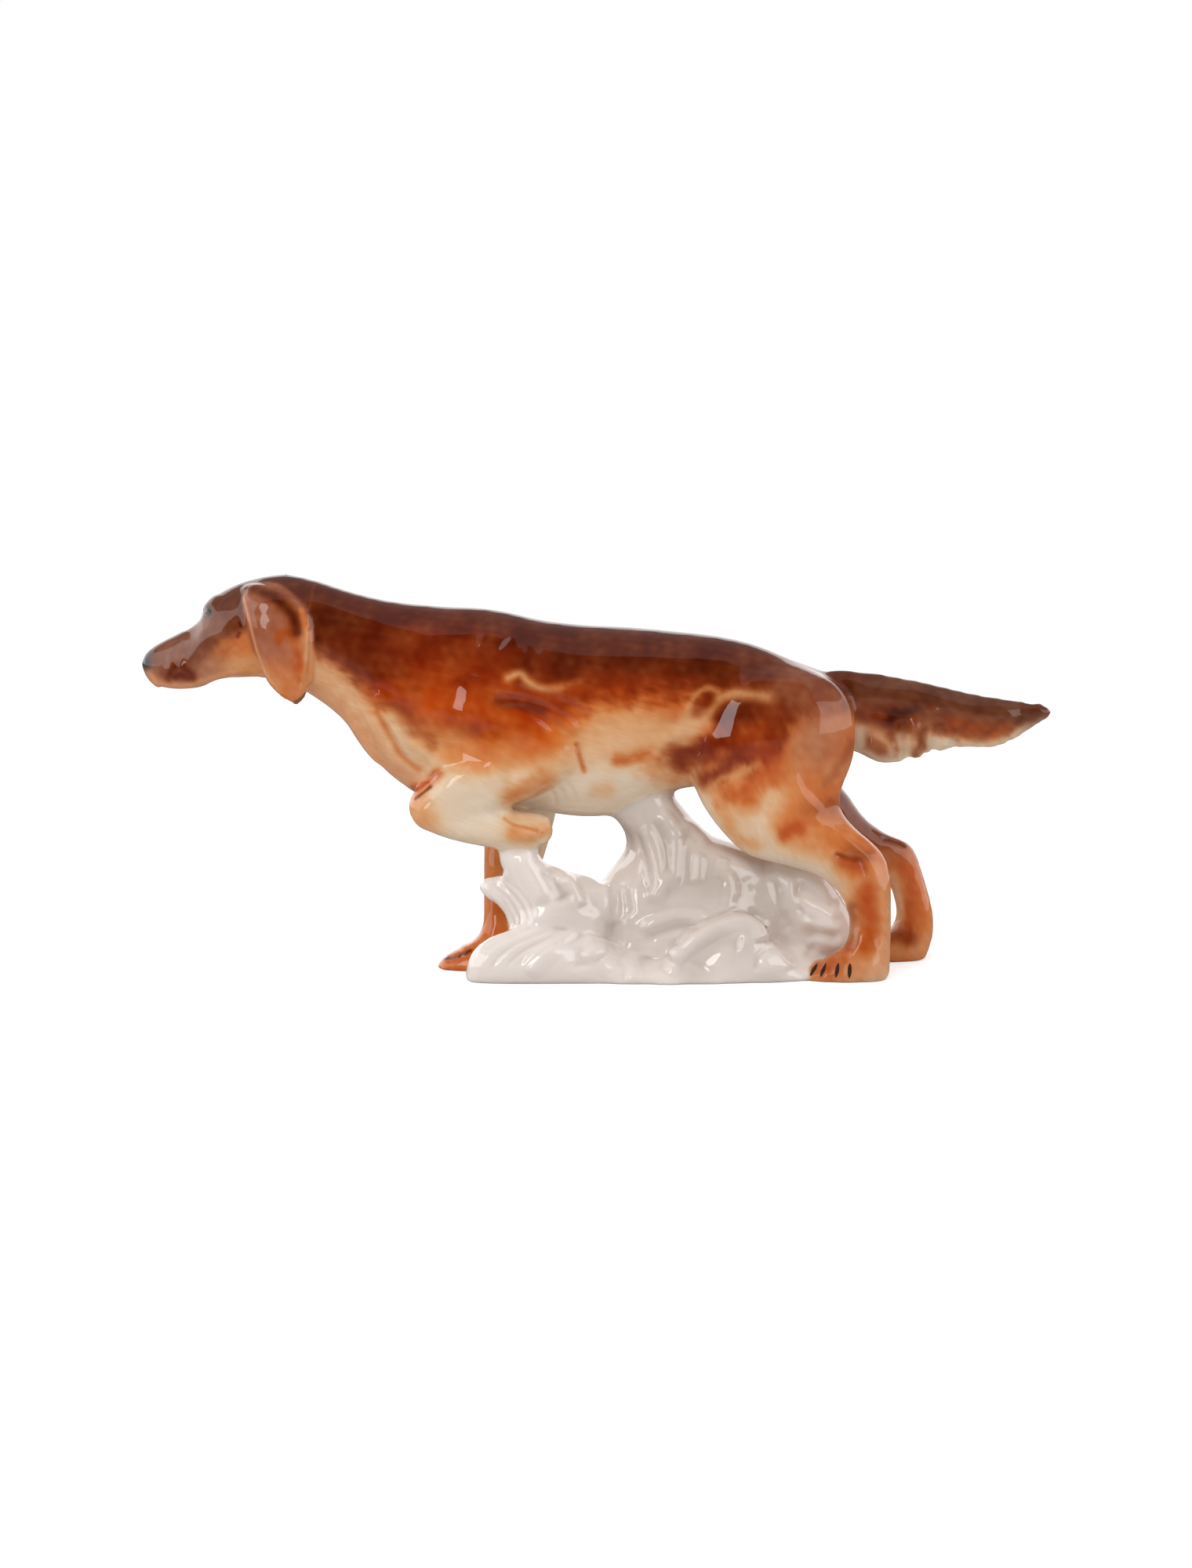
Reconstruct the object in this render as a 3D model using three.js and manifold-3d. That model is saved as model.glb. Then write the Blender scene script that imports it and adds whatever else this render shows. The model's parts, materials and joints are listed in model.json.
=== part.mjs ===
// A glazed porcelain figure of a setter on point over white rockwork, 330 mm long.
// It is slip cast in separate pieces (body, head, ears, tail, four legs, rockwork) that are luted
// together while leather hard. Each casting is a solid here, and a thin slip seam parts it from the
// casting that carries it.
//
// Millimetres. +X runs from nose to tail, +Y to the dog's right side, +Z up. The origin is on the
// surface that the figure stands on, at the middle of its length and width.

import * as THREE from 'three';
import { mergeVertices } from 'three/addons/utils/BufferGeometryUtils.js';
import Module from 'manifold-3d';

const wasm = await Module();
wasm.setup();

// Driving dimensions

const SEAM = 0.3; // slip seam between two castings

const SHOULDER_X = -34; // the figure is laid out from its shoulder
const NECK_LENGTH = 72; // from the shoulder forwards to the collar, where head and body meet
const BACK_LENGTH = 125.7; // from the shoulder back to the rump
const BACK_HEIGHT = 133; // at the withers
const BODY_WIDTH = 42;

const HEAD_LENGTH = 59; // from the collar to the nose
const HEAD_DEPTH = 41.4; // from the throat to the crown
const HEAD_WIDTH = 28.8;
const HEAD_TURN = THREE.MathUtils.degToRad(13); // how far the head looks to the dog's right
const NECK_BEND = { behind: 14, ahead: 18 }; // the stretch about the collar that makes the turn

const EAR_LENGTH = 40;
const EAR_BREADTH = 20;
const EAR_THICKNESS = 5.4;
const EAR_SUNK = 0.8; // how far an ear's middle lies inside the widest part of the head
const EAR_AHEAD = 5.5; // from the collar forwards to the middle of an ear
const EAR_BELOW_CROWN = 2.9;
const LEFT_EAR = { drop: 0, forward: 0 };
const RIGHT_EAR = { drop: 4, forward: 4 }; // it hangs lower and further forward

const TAIL_LENGTH = 73; // from the rump to the tip
const TAIL_DEPTH = 33; // with its feathering
const TAIL_WIDTH = 13;

// Legs. sunk is how far a leg's middle lies inside the body's side, foot how far it lies from the
// body's middle at the ground, and breadth the leg's size along the body where it joins.
const RAISED_LEG = { width: 17, sunk: 5, breadth: 64, depth: 68 };
const STANDING_LEG = { width: 17, sunk: 9, breadth: 40, foot: 3 };
const NEAR_HIND_LEG = { width: 23, sunk: 10, breadth: 60, foot: 17 };
const FAR_HIND_LEG = { width: 22, sunk: 10, breadth: 60, foot: 20.5 };
const HIP_BEFORE_RUMP = 21.7;

const ROCK_AHEAD = 6; // of the shoulder
const ROCK_BEHIND = 0.3; // the rump
const ROCK_WIDTH = { near: 28, far: 24 }; // from the body's middle to the rim on either side
const ROCK_HEIGHT = 17; // of the low mound under the tufts
const ROCK_RIM = 2.5; // height of its rolled rim
const CREST_HEIGHT = 36.4;
const LEAF_HEIGHT = 43;
const COLUMN_WIDTH = 42; // at its foot
const VENT = { radius: 4, depth: 6, x: 2, y: -6 }; // casting vent, placed from the rockwork's middle

// Places that follow from the sizes

const COLLAR_X = SHOULDER_X - NECK_LENGTH;
const RUMP_X = SHOULDER_X + BACK_LENGTH;
const HIP_X = RUMP_X - HIP_BEFORE_RUMP;
const ROCK_FRONT = SHOULDER_X - ROCK_AHEAD;
const ROCK_LENGTH = RUMP_X + ROCK_BEHIND - ROCK_FRONT;
const ROCK_MIDDLE = ROCK_FRONT + ROCK_LENGTH / 2;
const inSide = (leg) => BODY_WIDTH / 2 - leg.sunk;
const PAW_Y = -inSide(RAISED_LEG);

// Facets round and along each form

const BODY_SIDES = 26;
const HEAD_SIDES = 24;
const LIMB_SIDES = 14;
const EAR_SIDES = 12;
const ROCK_SIDES = 20;
const SPOKES = 40;

// Colours of the fired pieces

const CHESTNUT = 0x8a3f1a;
const DARK_COAT = 0x6b2f18;
const TAN = 0xb06a3c;
const ROCK_WHITE = 0xe6dfd6;

// Closed bodies and cuts

function solidOf(geometry) {
  geometry.deleteAttribute('normal');
  geometry.deleteAttribute('uv');
  const merged = mergeVertices(geometry, 1e-5);
  return new wasm.Manifold(new wasm.Mesh({
    numProp: 3,
    vertProperties: new Float32Array(merged.attributes.position.array),
    triVerts: new Uint32Array(merged.index.array),
  }));
}

function geometryOf(solid) {
  const mesh = solid.getMesh();
  const geometry = new THREE.BufferGeometry();
  geometry.setAttribute('position', new THREE.BufferAttribute(mesh.vertProperties, mesh.numProp));
  geometry.setIndex(new THREE.BufferAttribute(mesh.triVerts, 1));
  geometry.computeVertexNormals();
  return geometry;
}

function block(low, high) {
  const size = high.map((value, axis) => value - low[axis]);
  const box = new THREE.BoxGeometry(...size);
  box.translate(...low.map((value, axis) => value + size[axis] / 2));
  return solidOf(box);
}

const joined = (...solids) => solids.reduce((whole, solid) => whole.add(solid));
const cut = (solid, ...cutters) => cutters.reduce((left, cutter) => left.subtract(cutter), solid);

const REACH = 400;
const GROUND = block([-REACH, -REACH, -REACH], [REACH, REACH, 0]);

// Rings of points joined into one closed body with a fan at each end. The points of a ring run
// anticlockwise as seen from the ring after it.
function closedRings(rings) {
  const sides = rings[0].length;
  const points = rings.flat();
  const middle = (ring) => ring
    .reduce((sum, point) => sum.add(point), new THREE.Vector3())
    .divideScalar(sides);
  const first = points.push(middle(rings[0])) - 1;
  const last = points.push(middle(rings[rings.length - 1])) - 1;
  const index = [];
  for (let side = 0; side < sides; side++) {
    const next = (side + 1) % sides;
    for (let start = 0; start < first - sides; start += sides) {
      index.push(start + side, start + next, start + sides + next);
      index.push(start + side, start + sides + next, start + sides + side);
    }
    index.push(first, next, side);
    index.push(last, first - sides + side, first - sides + next);
  }
  const geometry = new THREE.BufferGeometry().setFromPoints(points);
  geometry.setIndex(index);
  return solidOf(geometry);
}

// Lofts

// One station of a loft, as seen from the side: it spans from a to b, each an [x, z], where b lies
// above a on a form that runs back and behind a on a form that runs down. share is its width as a
// share of the form's width, y its middle's place across the figure, widest the place of its widest
// point from a to b, and power its section: 2 is an ellipse, more is squarer and less is keener.
const station = (a, b, share, { y = 0, widest = 0.5, power = 2 } = {}) => (
  { a, b, share, y, widest, power }
);

// Makes stations whose points are in hundredths of a length and a height, from a place.
const stationsFrom = (x, length, z, height) => (a, b, share, more) => {
  const placed = ([along, up]) => [x + along * length / 100, z + up * height / 100];
  return station(placed(a), placed(b), share, more);
};

const straight = () => ({ y: 0, angle: 0 });

// The middle line of neck and head, which bends to the dog's right.
function bent(x) {
  const length = NECK_BEND.behind + NECK_BEND.ahead;
  const done = COLLAR_X + NECK_BEND.behind - x;
  const bend = THREE.MathUtils.clamp(done, 0, length);
  const angle = HEAD_TURN * THREE.MathUtils.smoothstep(bend, 0, length);
  const beyond = Math.max(done - length, 0);
  return { y: Math.tan(angle) * (bend / 2 + beyond), angle };
}

const signedPower = (value, power) => Math.sign(value) * Math.abs(value) ** power;

// A loft through stations, with every section grown outwards by grow, for the seams. Flutes are
// grooves that run along it, fluteDepth deep as a share of the section's radius.
function loft(stations, { width, steps, sides, grow = 0, line = straight, flutes = 0, fluteDepth = 0 }) {
  const through = (values) => new THREE.CatmullRomCurve3(
    stations.map((s) => new THREE.Vector3(...values(s))),
    false,
    'centripetal',
  );
  const low = through((s) => [s.a[0], 0, s.a[1]]);
  const high = through((s) => [s.b[0], 0, s.b[1]]);
  const rings = [];
  for (let step = 0; step <= steps; step++) {
    const at = (step / steps) * (stations.length - 1);
    const before = Math.min(Math.floor(at), stations.length - 2);
    const blend = THREE.MathUtils.smoothstep(at - before, 0, 1);
    const mix = (name) => THREE.MathUtils.lerp(stations[before][name], stations[before + 1][name], blend);
    const a = low.getPoint(step / steps);
    const b = high.getPoint(step / steps);
    const up = b.clone().sub(a);
    const span = up.length();
    up.normalize();
    const along = new THREE.Vector3(up.z, 0, -up.x);
    const centre = a.clone().addScaledVector(up, span * mix('widest'));
    if (step === 0) centre.addScaledVector(along, -grow);
    if (step === steps) centre.addScaledVector(along, grow);
    const out = width * mix('share') / 2 + grow;
    const above = span * (1 - mix('widest')) + grow;
    const below = span * mix('widest') + grow;
    const ring = [];
    for (let side = 0; side < sides; side++) {
      const turn = (side / sides) * Math.PI * 2;
      const flute = 1 - fluteDepth * (1 - Math.cos(turn * flutes)) / 2;
      const half = flute * (Math.sin(turn) > 0 ? above : below);
      const rise = signedPower(Math.sin(turn), 2 / mix('power')) * half;
      const reach = signedPower(Math.cos(turn), 2 / mix('power')) * out * flute + mix('y');
      const point = centre.clone().addScaledVector(up, rise);
      const middle = line(point.x);
      point.x += Math.sin(middle.angle) * reach;
      point.y = middle.y + Math.cos(middle.angle) * reach;
      ring.push(point);
    }
    rings.push(ring);
  }
  return closedRings(rings);
}

// Body and head meet at the collar, where the head is luted on.

const onNeck = stationsFrom(COLLAR_X, NECK_LENGTH, 0, BACK_HEIGHT);
const onBack = stationsFrom(SHOULDER_X, BACK_LENGTH, 0, BACK_HEIGHT);
const COLLAR = onNeck([0, 77.8], [6.9, 107.4], 0.68, { power: 2.1 });
const HEAD_COLLAR = station(
  [COLLAR.a[0] - SEAM, COLLAR.a[1]],
  [COLLAR.b[0] - SEAM, COLLAR.b[1]],
  COLLAR.share * BODY_WIDTH / HEAD_WIDTH,
  { power: 2.1 },
);

const body = (grow = 0) => loft([
  COLLAR,
  onNeck([10.4, 74.1], [23.6, 104.4], 0.69, { power: 2.1 }),
  onNeck([20.8, 69.2], [41.7, 102], 0.74, { power: 2.1 }),
  onNeck([31.9, 60.8], [59.7, 100.8], 0.82, { power: 2.1 }),
  onNeck([44.3, 54.1], [75, 100.2], 0.9, { power: 2.15 }),
  onNeck([61.1, 47.7], [87.5, 100], 0.94, { power: 2.2, widest: 0.47 }),
  onNeck([86.1, 43.9], [101.4, 99], 0.96, { power: 2.2, widest: 0.47 }),
  onBack([8, 44.5], [11.1, 96.7], 0.98, { power: 2.2 }),
  onBack([23.1, 42.9], [23.9, 95.3], 1, { power: 2.2 }),
  onBack([35, 43.9], [36.6, 94.7], 0.97, { power: 2.2, widest: 0.53 }),
  onBack([47.7, 49.8], [49.3, 93.6], 0.92, { power: 2.2, widest: 0.53 }),
  onBack([60.5, 51.5], [62.8, 92.1], 0.86, { power: 2.2 }),
  onBack([71.6, 52.6], [73.2, 89.7], 0.8, { power: 2.2 }),
  onBack([81.9, 54.5], [82.7, 86], 0.74, { power: 2.2 }),
  onBack([89.9, 57.9], [90.7, 83.3], 0.64, { power: 2.1 }),
  onBack([95.9, 62.4], [96.7, 80.5], 0.48),
  onBack([99, 67.7], [99.4, 75.6], 0.24),
  onBack([99.9, 71], [100, 72.2], 0.05),
], { width: BODY_WIDTH, steps: 40, sides: BODY_SIDES, line: bent, grow });

const THROAT_Z = COLLAR.a[1];
const onHead = stationsFrom(HEAD_COLLAR.a[0], -HEAD_LENGTH, THROAT_Z, HEAD_DEPTH);

const head = (grow = 0) => loft([
  onHead([100, 19.6], [99.8, 23.5], 0.08),
  onHead([99, 12.9], [97.6, 27.9], 0.26),
  onHead([95.8, 4.4], [92.4, 34.6], 0.4, { power: 2.2 }),
  onHead([89, -2.3], [84.9, 40.7], 0.49, { power: 2.3, widest: 0.45 }),
  onHead([80, -4.5], [75.8, 47.4], 0.54, { power: 2.3, widest: 0.42 }),
  onHead([70.7, -3.8], [67.3, 55.1], 0.59, { power: 2.2, widest: 0.42 }),
  onHead([63.1, -1.1], [61.5, 63.8], 0.68, { power: 2.1, widest: 0.45 }),
  onHead([55.4, 3.5], [56.8, 75.9], 0.8),
  onHead([47.8, 6.6], [48.3, 84.6], 0.89, { widest: 0.52 }),
  onHead([37.6, 8.5], [37.1, 92.3], 0.96, { widest: 0.52 }),
  onHead([26.6, 9.5], [25.8, 96.9], 1, { widest: 0.52 }),
  onHead([15.6, 8.5], [12.2, 100.1], 1, { widest: 0.52 }),
  onHead([7.1, 4.7], [2, 98.4], 0.99, { power: 2.1 }),
  HEAD_COLLAR,
], { width: HEAD_WIDTH, steps: 30, sides: HEAD_SIDES, line: bent, grow });

// An ear hangs as a thick leather from its root high on the skull. side is 1 for the dog's right.
function ear(side, { drop, forward }, grow = 0) {
  const onEar = stationsFrom(
    COLLAR_X - EAR_AHEAD - forward,
    EAR_BREADTH,
    THROAT_Z + HEAD_DEPTH - EAR_BELOW_CROWN,
    -(EAR_LENGTH + drop),
  );
  const hang = (a, b, share, away) => onEar(
    a, b, share, { y: side * (HEAD_WIDTH / 2 - EAR_SUNK + away), power: 2.4 },
  );
  return loft([
    hang([-45.5, -0.5], [-12.5, -0.5], 0.35, -6.5),
    hang([-57.5, 6], [15.5, 7.5], 0.8, -2.2),
    hang([-53.5, 20], [41.5, 23.5], 0.95, 0),
    hang([-46, 36.5], [51.5, 40], 1, 1.2),
    hang([-37, 56], [53.5, 59], 1, 1.4),
    hang([-27.5, 75], [51.5, 75], 0.9, 0.8),
    hang([-13.5, 92.5], [46.5, 91], 0.7, -0.6),
    hang([4.5, 101.8], [34.5, 100.5], 0.4, -1.6),
    hang([16.5, 105], [24.5, 104.5], 0.15, -2.2),
  ], { width: EAR_THICKNESS, steps: 16, sides: EAR_SIDES, line: bent, grow });
}

const RUMP_Z = onBack([100, 71.6], [100, 71.6], 1).a[1];
const onTail = stationsFrom(RUMP_X, TAIL_LENGTH, RUMP_Z, TAIL_DEPTH);

// The tail is held level, with feathering that hangs from it in lobes.
const tail = (grow = 0) => loft([
  onTail([-18.8, -21.8], [-21.5, 41.8], 0.9),
  onTail([-6.4, -37], [-6.4, 46.1], 0.95, { widest: 0.6 }),
  onTail([7, -48.8], [7.9, 43.3], 1, { widest: 0.7, power: 1.8 }),
  onTail([15.5, -57.6], [15.5, 41.5], 1, { widest: 0.72, power: 1.8 }),
  onTail([23.7, -58.2], [23.7, 37.9], 0.98, { widest: 0.72, power: 1.8 }),
  onTail([33.3, -52.7], [33.3, 33.9], 0.94, { widest: 0.72, power: 1.8 }),
  onTail([40.1, -49.7], [40.1, 30.3], 0.9, { widest: 0.72, power: 1.8 }),
  onTail([49.7, -41.8], [49.7, 25.5], 0.84, { widest: 0.7, power: 1.8 }),
  onTail([61.4, -40], [61.4, 19.7], 0.76, { widest: 0.68, power: 1.8 }),
  onTail([70.3, -40.9], [70.3, 16.1], 0.68, { widest: 0.66, power: 1.8 }),
  onTail([79.9, -33.9], [79.9, 12.7], 0.58, { widest: 0.62 }),
  onTail([89.5, -20], [89.5, 9.4], 0.42, { widest: 0.6 }),
  onTail([96.3, -9.7], [96.3, 6.1], 0.26),
  onTail([100, -1.2], [100, 1.8], 0.08),
], { width: TAIL_WIDTH, steps: 26, sides: LIMB_SIDES, grow });

// Legs

const ELBOW_Z = onBack([22, 63.2], [22, 63.2], 1).a[1];

// The near foreleg is folded up under the chest: upper arm, forearm and paw.
function raisedForeleg(grow = 0) {
  const onLeg = stationsFrom(SHOULDER_X, RAISED_LEG.breadth, ELBOW_Z, RAISED_LEG.depth);
  const near = (a, b, share, inward = 0) => onLeg(a, b, share, { y: PAW_Y + inward, power: 2.2 });
  const form = { width: RAISED_LEG.width, sides: LIMB_SIDES, grow };
  const upperArm = loft([
    near([-50, 27.9], [-45.3, 38.2], 0.2, 5),
    near([-37.5, 14.7], [-25, 46.3], 0.65, 2.4),
    near([-18.8, -1.5], [-4.7, 36.8], 0.95, 0.6),
    near([3.1, -13.2], [15.6, 25.7], 1),
    near([25, -19.9], [35.2, 15.4], 0.92, 0.6),
    near([40.6, -15.4], [46.2, 6.6], 0.66, 1),
    near([47.5, -8.1], [48.4, -0.7], 0.25, 1.4),
  ], { ...form, steps: 11 });
  const forearm = loft([
    near([46.1, 0], [45.3, -10.3], 0.4, 1),
    near([34.4, 5.9], [31.2, -19.4], 0.86, 0.6),
    near([9.4, 0], [3.1, -31.5], 0.98),
    near([-17.2, -8.1], [-21.9, -42.6], 0.94),
    near([-36.7, -16.2], [-40.6, -45], 0.82, 0.6),
    near([-47.8, -21.8], [-49.1, -38.8], 0.58, 1.2),
    near([-51.6, -27.6], [-51.7, -32.9], 0.2, 1.6),
  ], { ...form, steps: 11 });
  const paw = loft([
    near([-47.8, -38.2], [-46.9, -26.5], 0.5, 1),
    near([-37.5, -45.6], [-34.4, -28.7], 0.8, 0.6),
    near([-18.8, -50.7], [-17.2, -30.9], 0.92, 0.6),
    near([1.6, -53.8], [3.1, -33.1], 0.92, 0.6),
    near([16.4, -53.4], [18, -34.6], 0.86, 0.6),
    near([25.6, -49.7], [27.2, -37.6], 0.6, 0.8),
    near([28.4, -45], [28.7, -41.2], 0.2, 1),
  ], { ...form, steps: 11 });
  return joined(upperArm, forearm, paw);
}

// A leg's middle lies between its place at the top, down 0, and its place at the ground, down 1.
function leaning(leg, joint, side) {
  const onLeg = stationsFrom(joint, leg.breadth, 0, BACK_HEIGHT);
  return (a, b, share, down) => onLeg(
    a, b, share, { y: side * THREE.MathUtils.lerp(inSide(leg), leg.foot, down), power: 2.15 },
  );
}

function standingForeleg(grow = 0) {
  const far = leaning(STANDING_LEG, SHOULDER_X, 1);
  return loft([
    far([-65, 82.7], [-35, 84.2], 0.3, 0.3),
    far([-60, 75.2], [0, 78.2], 0.75, 0.05),
    far([-50, 64.7], [40, 69.2], 1, 0),
    far([-31.2, 53.4], [53.5, 57.1], 1, 0.05),
    far([-21, 44.4], [51.2, 46.2], 0.96, 0.2),
    far([-18, 36.1], [43, 36.1], 0.86, 0.4),
    far([-18, 27.1], [34, 27.1], 0.74, 0.6),
    far([-18, 18], [25, 17.7], 0.68, 0.75),
    far([-19, 11.3], [21, 10.5], 0.7, 0.88),
    far([-27, 7.2], [21, 5.3], 0.86, 0.96),
    far([-48.5, 4.2], [22, 1.8], 0.98, 1),
    far([-61.5, 0.5], [21, -1.5], 1, 1),
    far([-63.5, -3], [20, -3.8], 0.96, 1),
  ], { width: STANDING_LEG.width, steps: 26, sides: LIMB_SIDES, grow });
}

function nearHindLeg(grow = 0) {
  const near = leaning(NEAR_HIND_LEG, HIP_X, -1);
  return loft([
    near([-16.7, 86.8], [3.3, 85], 0.2, -0.9),
    near([-40, 82.7], [26.7, 80.5], 0.72, -0.2),
    near([-55, 73.7], [37.3, 74.4], 0.94, 0),
    near([-61, 63.2], [39.7, 66.9], 1, 0.05),
    near([-59.7, 54.1], [37, 58.6], 1, 0.1),
    near([-52.7, 47.1], [31.3, 52.3], 0.96, 0.2),
    near([-41.5, 40.2], [29.7, 47.7], 0.88, 0.3),
    near([-26.7, 34], [34.3, 43.5], 0.78, 0.4),
    near([-3.8, 31.2], [45.3, 38.7], 0.66, 0.55),
    near([15, 28.6], [55, 34.6], 0.55, 0.7),
    near([28.3, 24.1], [60, 28.6], 0.5, 0.8),
    near([34.7, 18.4], [60.7, 20.3], 0.48, 0.88),
    near([35.5, 12.9], [60.7, 12.8], 0.5, 0.94),
    near([32.5, 8.9], [60.3, 7.1], 0.58, 0.98),
    near([17.5, 4.8], [60, 2.7], 0.69, 1),
    near([7.3, 0.8], [59.7, -1.2], 0.72, 1),
    near([5, -3], [59.7, -3.8], 0.7, 1),
  ], { width: NEAR_HIND_LEG.width, steps: 34, sides: LIMB_SIDES, grow });
}

function farHindLeg(grow = 0) {
  const far = leaning(FAR_HIND_LEG, HIP_X, 1);
  return loft([
    far([-16.7, 86.8], [3.3, 85], 0.2, -0.6),
    far([-36.7, 82.7], [26.7, 80.5], 0.72, -0.15),
    far([-46.7, 73.7], [36, 74.4], 0.96, 0),
    far([-45, 63.2], [35.7, 65.4], 1, 0.05),
    far([-35, 54.5], [30.7, 57.1], 0.98, 0.1),
    far([-20, 47.4], [30, 51.6], 0.9, 0.2),
    far([0, 40.6], [36.7, 47.7], 0.8, 0.35),
    far([21.7, 34.6], [48.3, 40.3], 0.66, 0.5),
    far([41, 30.1], [63.3, 35.3], 0.56, 0.65),
    far([56, 25.9], [77.2, 32.5], 0.52, 0.78),
    far([64.7, 21.1], [83.2, 26.3], 0.51, 0.87),
    far([68.2, 16.1], [88.7, 18.3], 0.52, 0.93),
    far([69.3, 11.9], [91.8, 12], 0.56, 0.97),
    far([64, 7.5], [91.7, 6.6], 0.64, 1),
    far([48.3, 4.2], [89.3, 2.7], 0.74, 1),
    far([38.3, 0.6], [86.7, -1.1], 0.77, 1),
    far([36, -3], [85.7, -3.8], 0.75, 1),
  ], { width: FAR_HIND_LEG.width, steps: 34, sides: LIMB_SIDES, grow });
}

// Rockwork

const onRock = stationsFrom(ROCK_FRONT, ROCK_LENGTH, 0, ROCK_HEIGHT);
const onCrest = stationsFrom(ROCK_FRONT, ROCK_LENGTH, 0, CREST_HEIGHT);
const onLeaf = stationsFrom(ROCK_FRONT, ROCK_LENGTH, 0, LEAF_HEIGHT);
const underBody = stationsFrom(ROCK_FRONT, ROCK_LENGTH, 0, BACK_HEIGHT);

// Rounded swells of the mound: where each one's top is, in hundredths of the rockwork's length, how
// far it spreads and its share of the height.
const SWELLS = [
  { along: 12, y: -8, spread: 17, share: 0.8 },
  { along: 35, y: -4, spread: 24, share: 1 },
  { along: 59, y: 2, spread: 26, share: 1.1 },
  { along: 82, y: -2, spread: 20, share: 0.95 },
];
const SWELL_BLEND = 4; // how firmly the highest swell wins over its neighbours
const BELOW = -24; // the rockwork's forms start below the ground, where they are cut off flat

// The mound is a round-edged slab whose top rises in swells, made of rings from the rim inwards.
function mound(grow = 0) {
  const halfLength = ROCK_LENGTH / 2 + grow;
  const from = (x, y, swell) => (
    (x - ROCK_FRONT - swell.along * ROCK_LENGTH / 100) ** 2 + (y - swell.y) ** 2
  );
  const top = (x, y) => SWELLS
    .map((swell) => swell.share * Math.exp(-from(x, y, swell) / swell.spread ** 2))
    .reduce((sum, share) => sum + share ** SWELL_BLEND, 0) ** (1 / SWELL_BLEND);
  const profile = [[1, -ROCK_RIM], [1, 0], [0.995, ROCK_RIM * 0.6], [0.97, ROCK_RIM]];
  const rings = profile.map(([share, z]) => ({ share, height: () => z }));
  for (const share of [0.9, 0.8, 0.68, 0.56, 0.44, 0.32, 0.2, 0.08]) {
    const swell = Math.sqrt(1 - share ** 2);
    rings.push({
      share,
      height: (x, y) => ROCK_RIM + ROCK_HEIGHT * swell * top(x, y) * (1 - ROCK_RIM / ROCK_HEIGHT),
    });
  }
  return closedRings(rings.map(({ share, height }) => {
    const ring = [];
    for (let spoke = 0; spoke < SPOKES; spoke++) {
      const turn = (spoke / SPOKES) * Math.PI * 2;
      const wave = 1 + 0.03 * Math.sin(turn * 7);
      const side = Math.sin(turn) > 0 ? ROCK_WIDTH.far : ROCK_WIDTH.near;
      const x = ROCK_MIDDLE + signedPower(Math.cos(turn), 0.8) * halfLength * share * wave;
      const y = signedPower(Math.sin(turn), 0.8) * (side + grow) * share * wave;
      ring.push(new THREE.Vector3(x, y, height(x, y) + grow));
    }
    return ring;
  }));
}

const FLUTED = { sides: ROCK_SIDES, flutes: 5, fluteDepth: 0.07 };
const LOBE_WIDTH = 20;
const ON_NEAR_RIM = { y: LOBE_WIDTH / 2 - ROCK_WIDTH.near - 1 };

// The smooth lobe that the front of the mound runs out in.
const frontLobe = (grow = 0) => loft([
  onRock([-5.2, BELOW], [-5.2, 5.9], 0.25, ON_NEAR_RIM),
  onRock([-3.8, BELOW], [-3.8, 52.9], 0.6, ON_NEAR_RIM),
  onRock([0.8, BELOW], [1.1, 85.9], 0.85, ON_NEAR_RIM),
  onRock([9.1, BELOW], [9.1, 109.4], 1, ON_NEAR_RIM),
  onRock([19.7, BELOW], [18.9, 123.5], 1, ON_NEAR_RIM),
  onRock([28.8, BELOW], [28.8, 100], 0.9, ON_NEAR_RIM),
  onRock([37.9, BELOW], [37.9, 52.9], 0.5, ON_NEAR_RIM),
], { width: LOBE_WIDTH, steps: 12, sides: ROCK_SIDES, grow });

// The rolled wave beside the near hind foot.
const rolledWave = (grow = 0) => loft([
  onRock([43.9, BELOW], [45.5, 17.6], 0.3, ON_NEAR_RIM),
  onRock([51.5, BELOW], [51.5, 70.6], 0.7, ON_NEAR_RIM),
  onRock([58.3, BELOW], [58, 117.6], 0.85, ON_NEAR_RIM),
  onRock([65.9, BELOW], [65.9, 137.1], 0.9, ON_NEAR_RIM),
  onRock([72, BELOW], [72.7, 136.5], 0.85, ON_NEAR_RIM),
  onRock([76.5, BELOW], [76.1, 100], 0.75, ON_NEAR_RIM),
  onRock([81.1, BELOW], [81.1, 55.3], 0.6, ON_NEAR_RIM),
  onRock([85.6, BELOW], [85.6, 23.5], 0.3, ON_NEAR_RIM),
], { width: LOBE_WIDTH, steps: 14, sides: ROCK_SIDES, grow });

const rockBase = (grow = 0) => joined(mound(grow), frontLobe(grow), rolledWave(grow));

// The grown column that holds up the belly.
const bellyColumn = (grow = 0) => loft([
  underBody([30.3, 57.1], [47, 58.6], 0.42, { y: -1 }),
  underBody([33, 45.1], [50, 51.5], 0.46, { y: -1 }),
  underBody([37.6, 39.1], [55.3, 44.2], 0.52, { y: -1 }),
  underBody([38.2, 33.7], [61.4, 37.9], 0.6, { y: -1 }),
  underBody([34.1, 28.1], [69.7, 34.9], 0.7, { y: -1 }),
  underBody([30.3, 22.6], [79.5, 30.1], 0.8, { y: -1 }),
  underBody([27.3, 13.5], [83.3, 18], 0.92, { y: -1 }),
  underBody([28, 4.5], [84.8, 6], 1, { y: -1 }),
], { width: COLUMN_WIDTH, steps: 15, ...FLUTED, grow });

const TUFT_WIDTH = 26;

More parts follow.
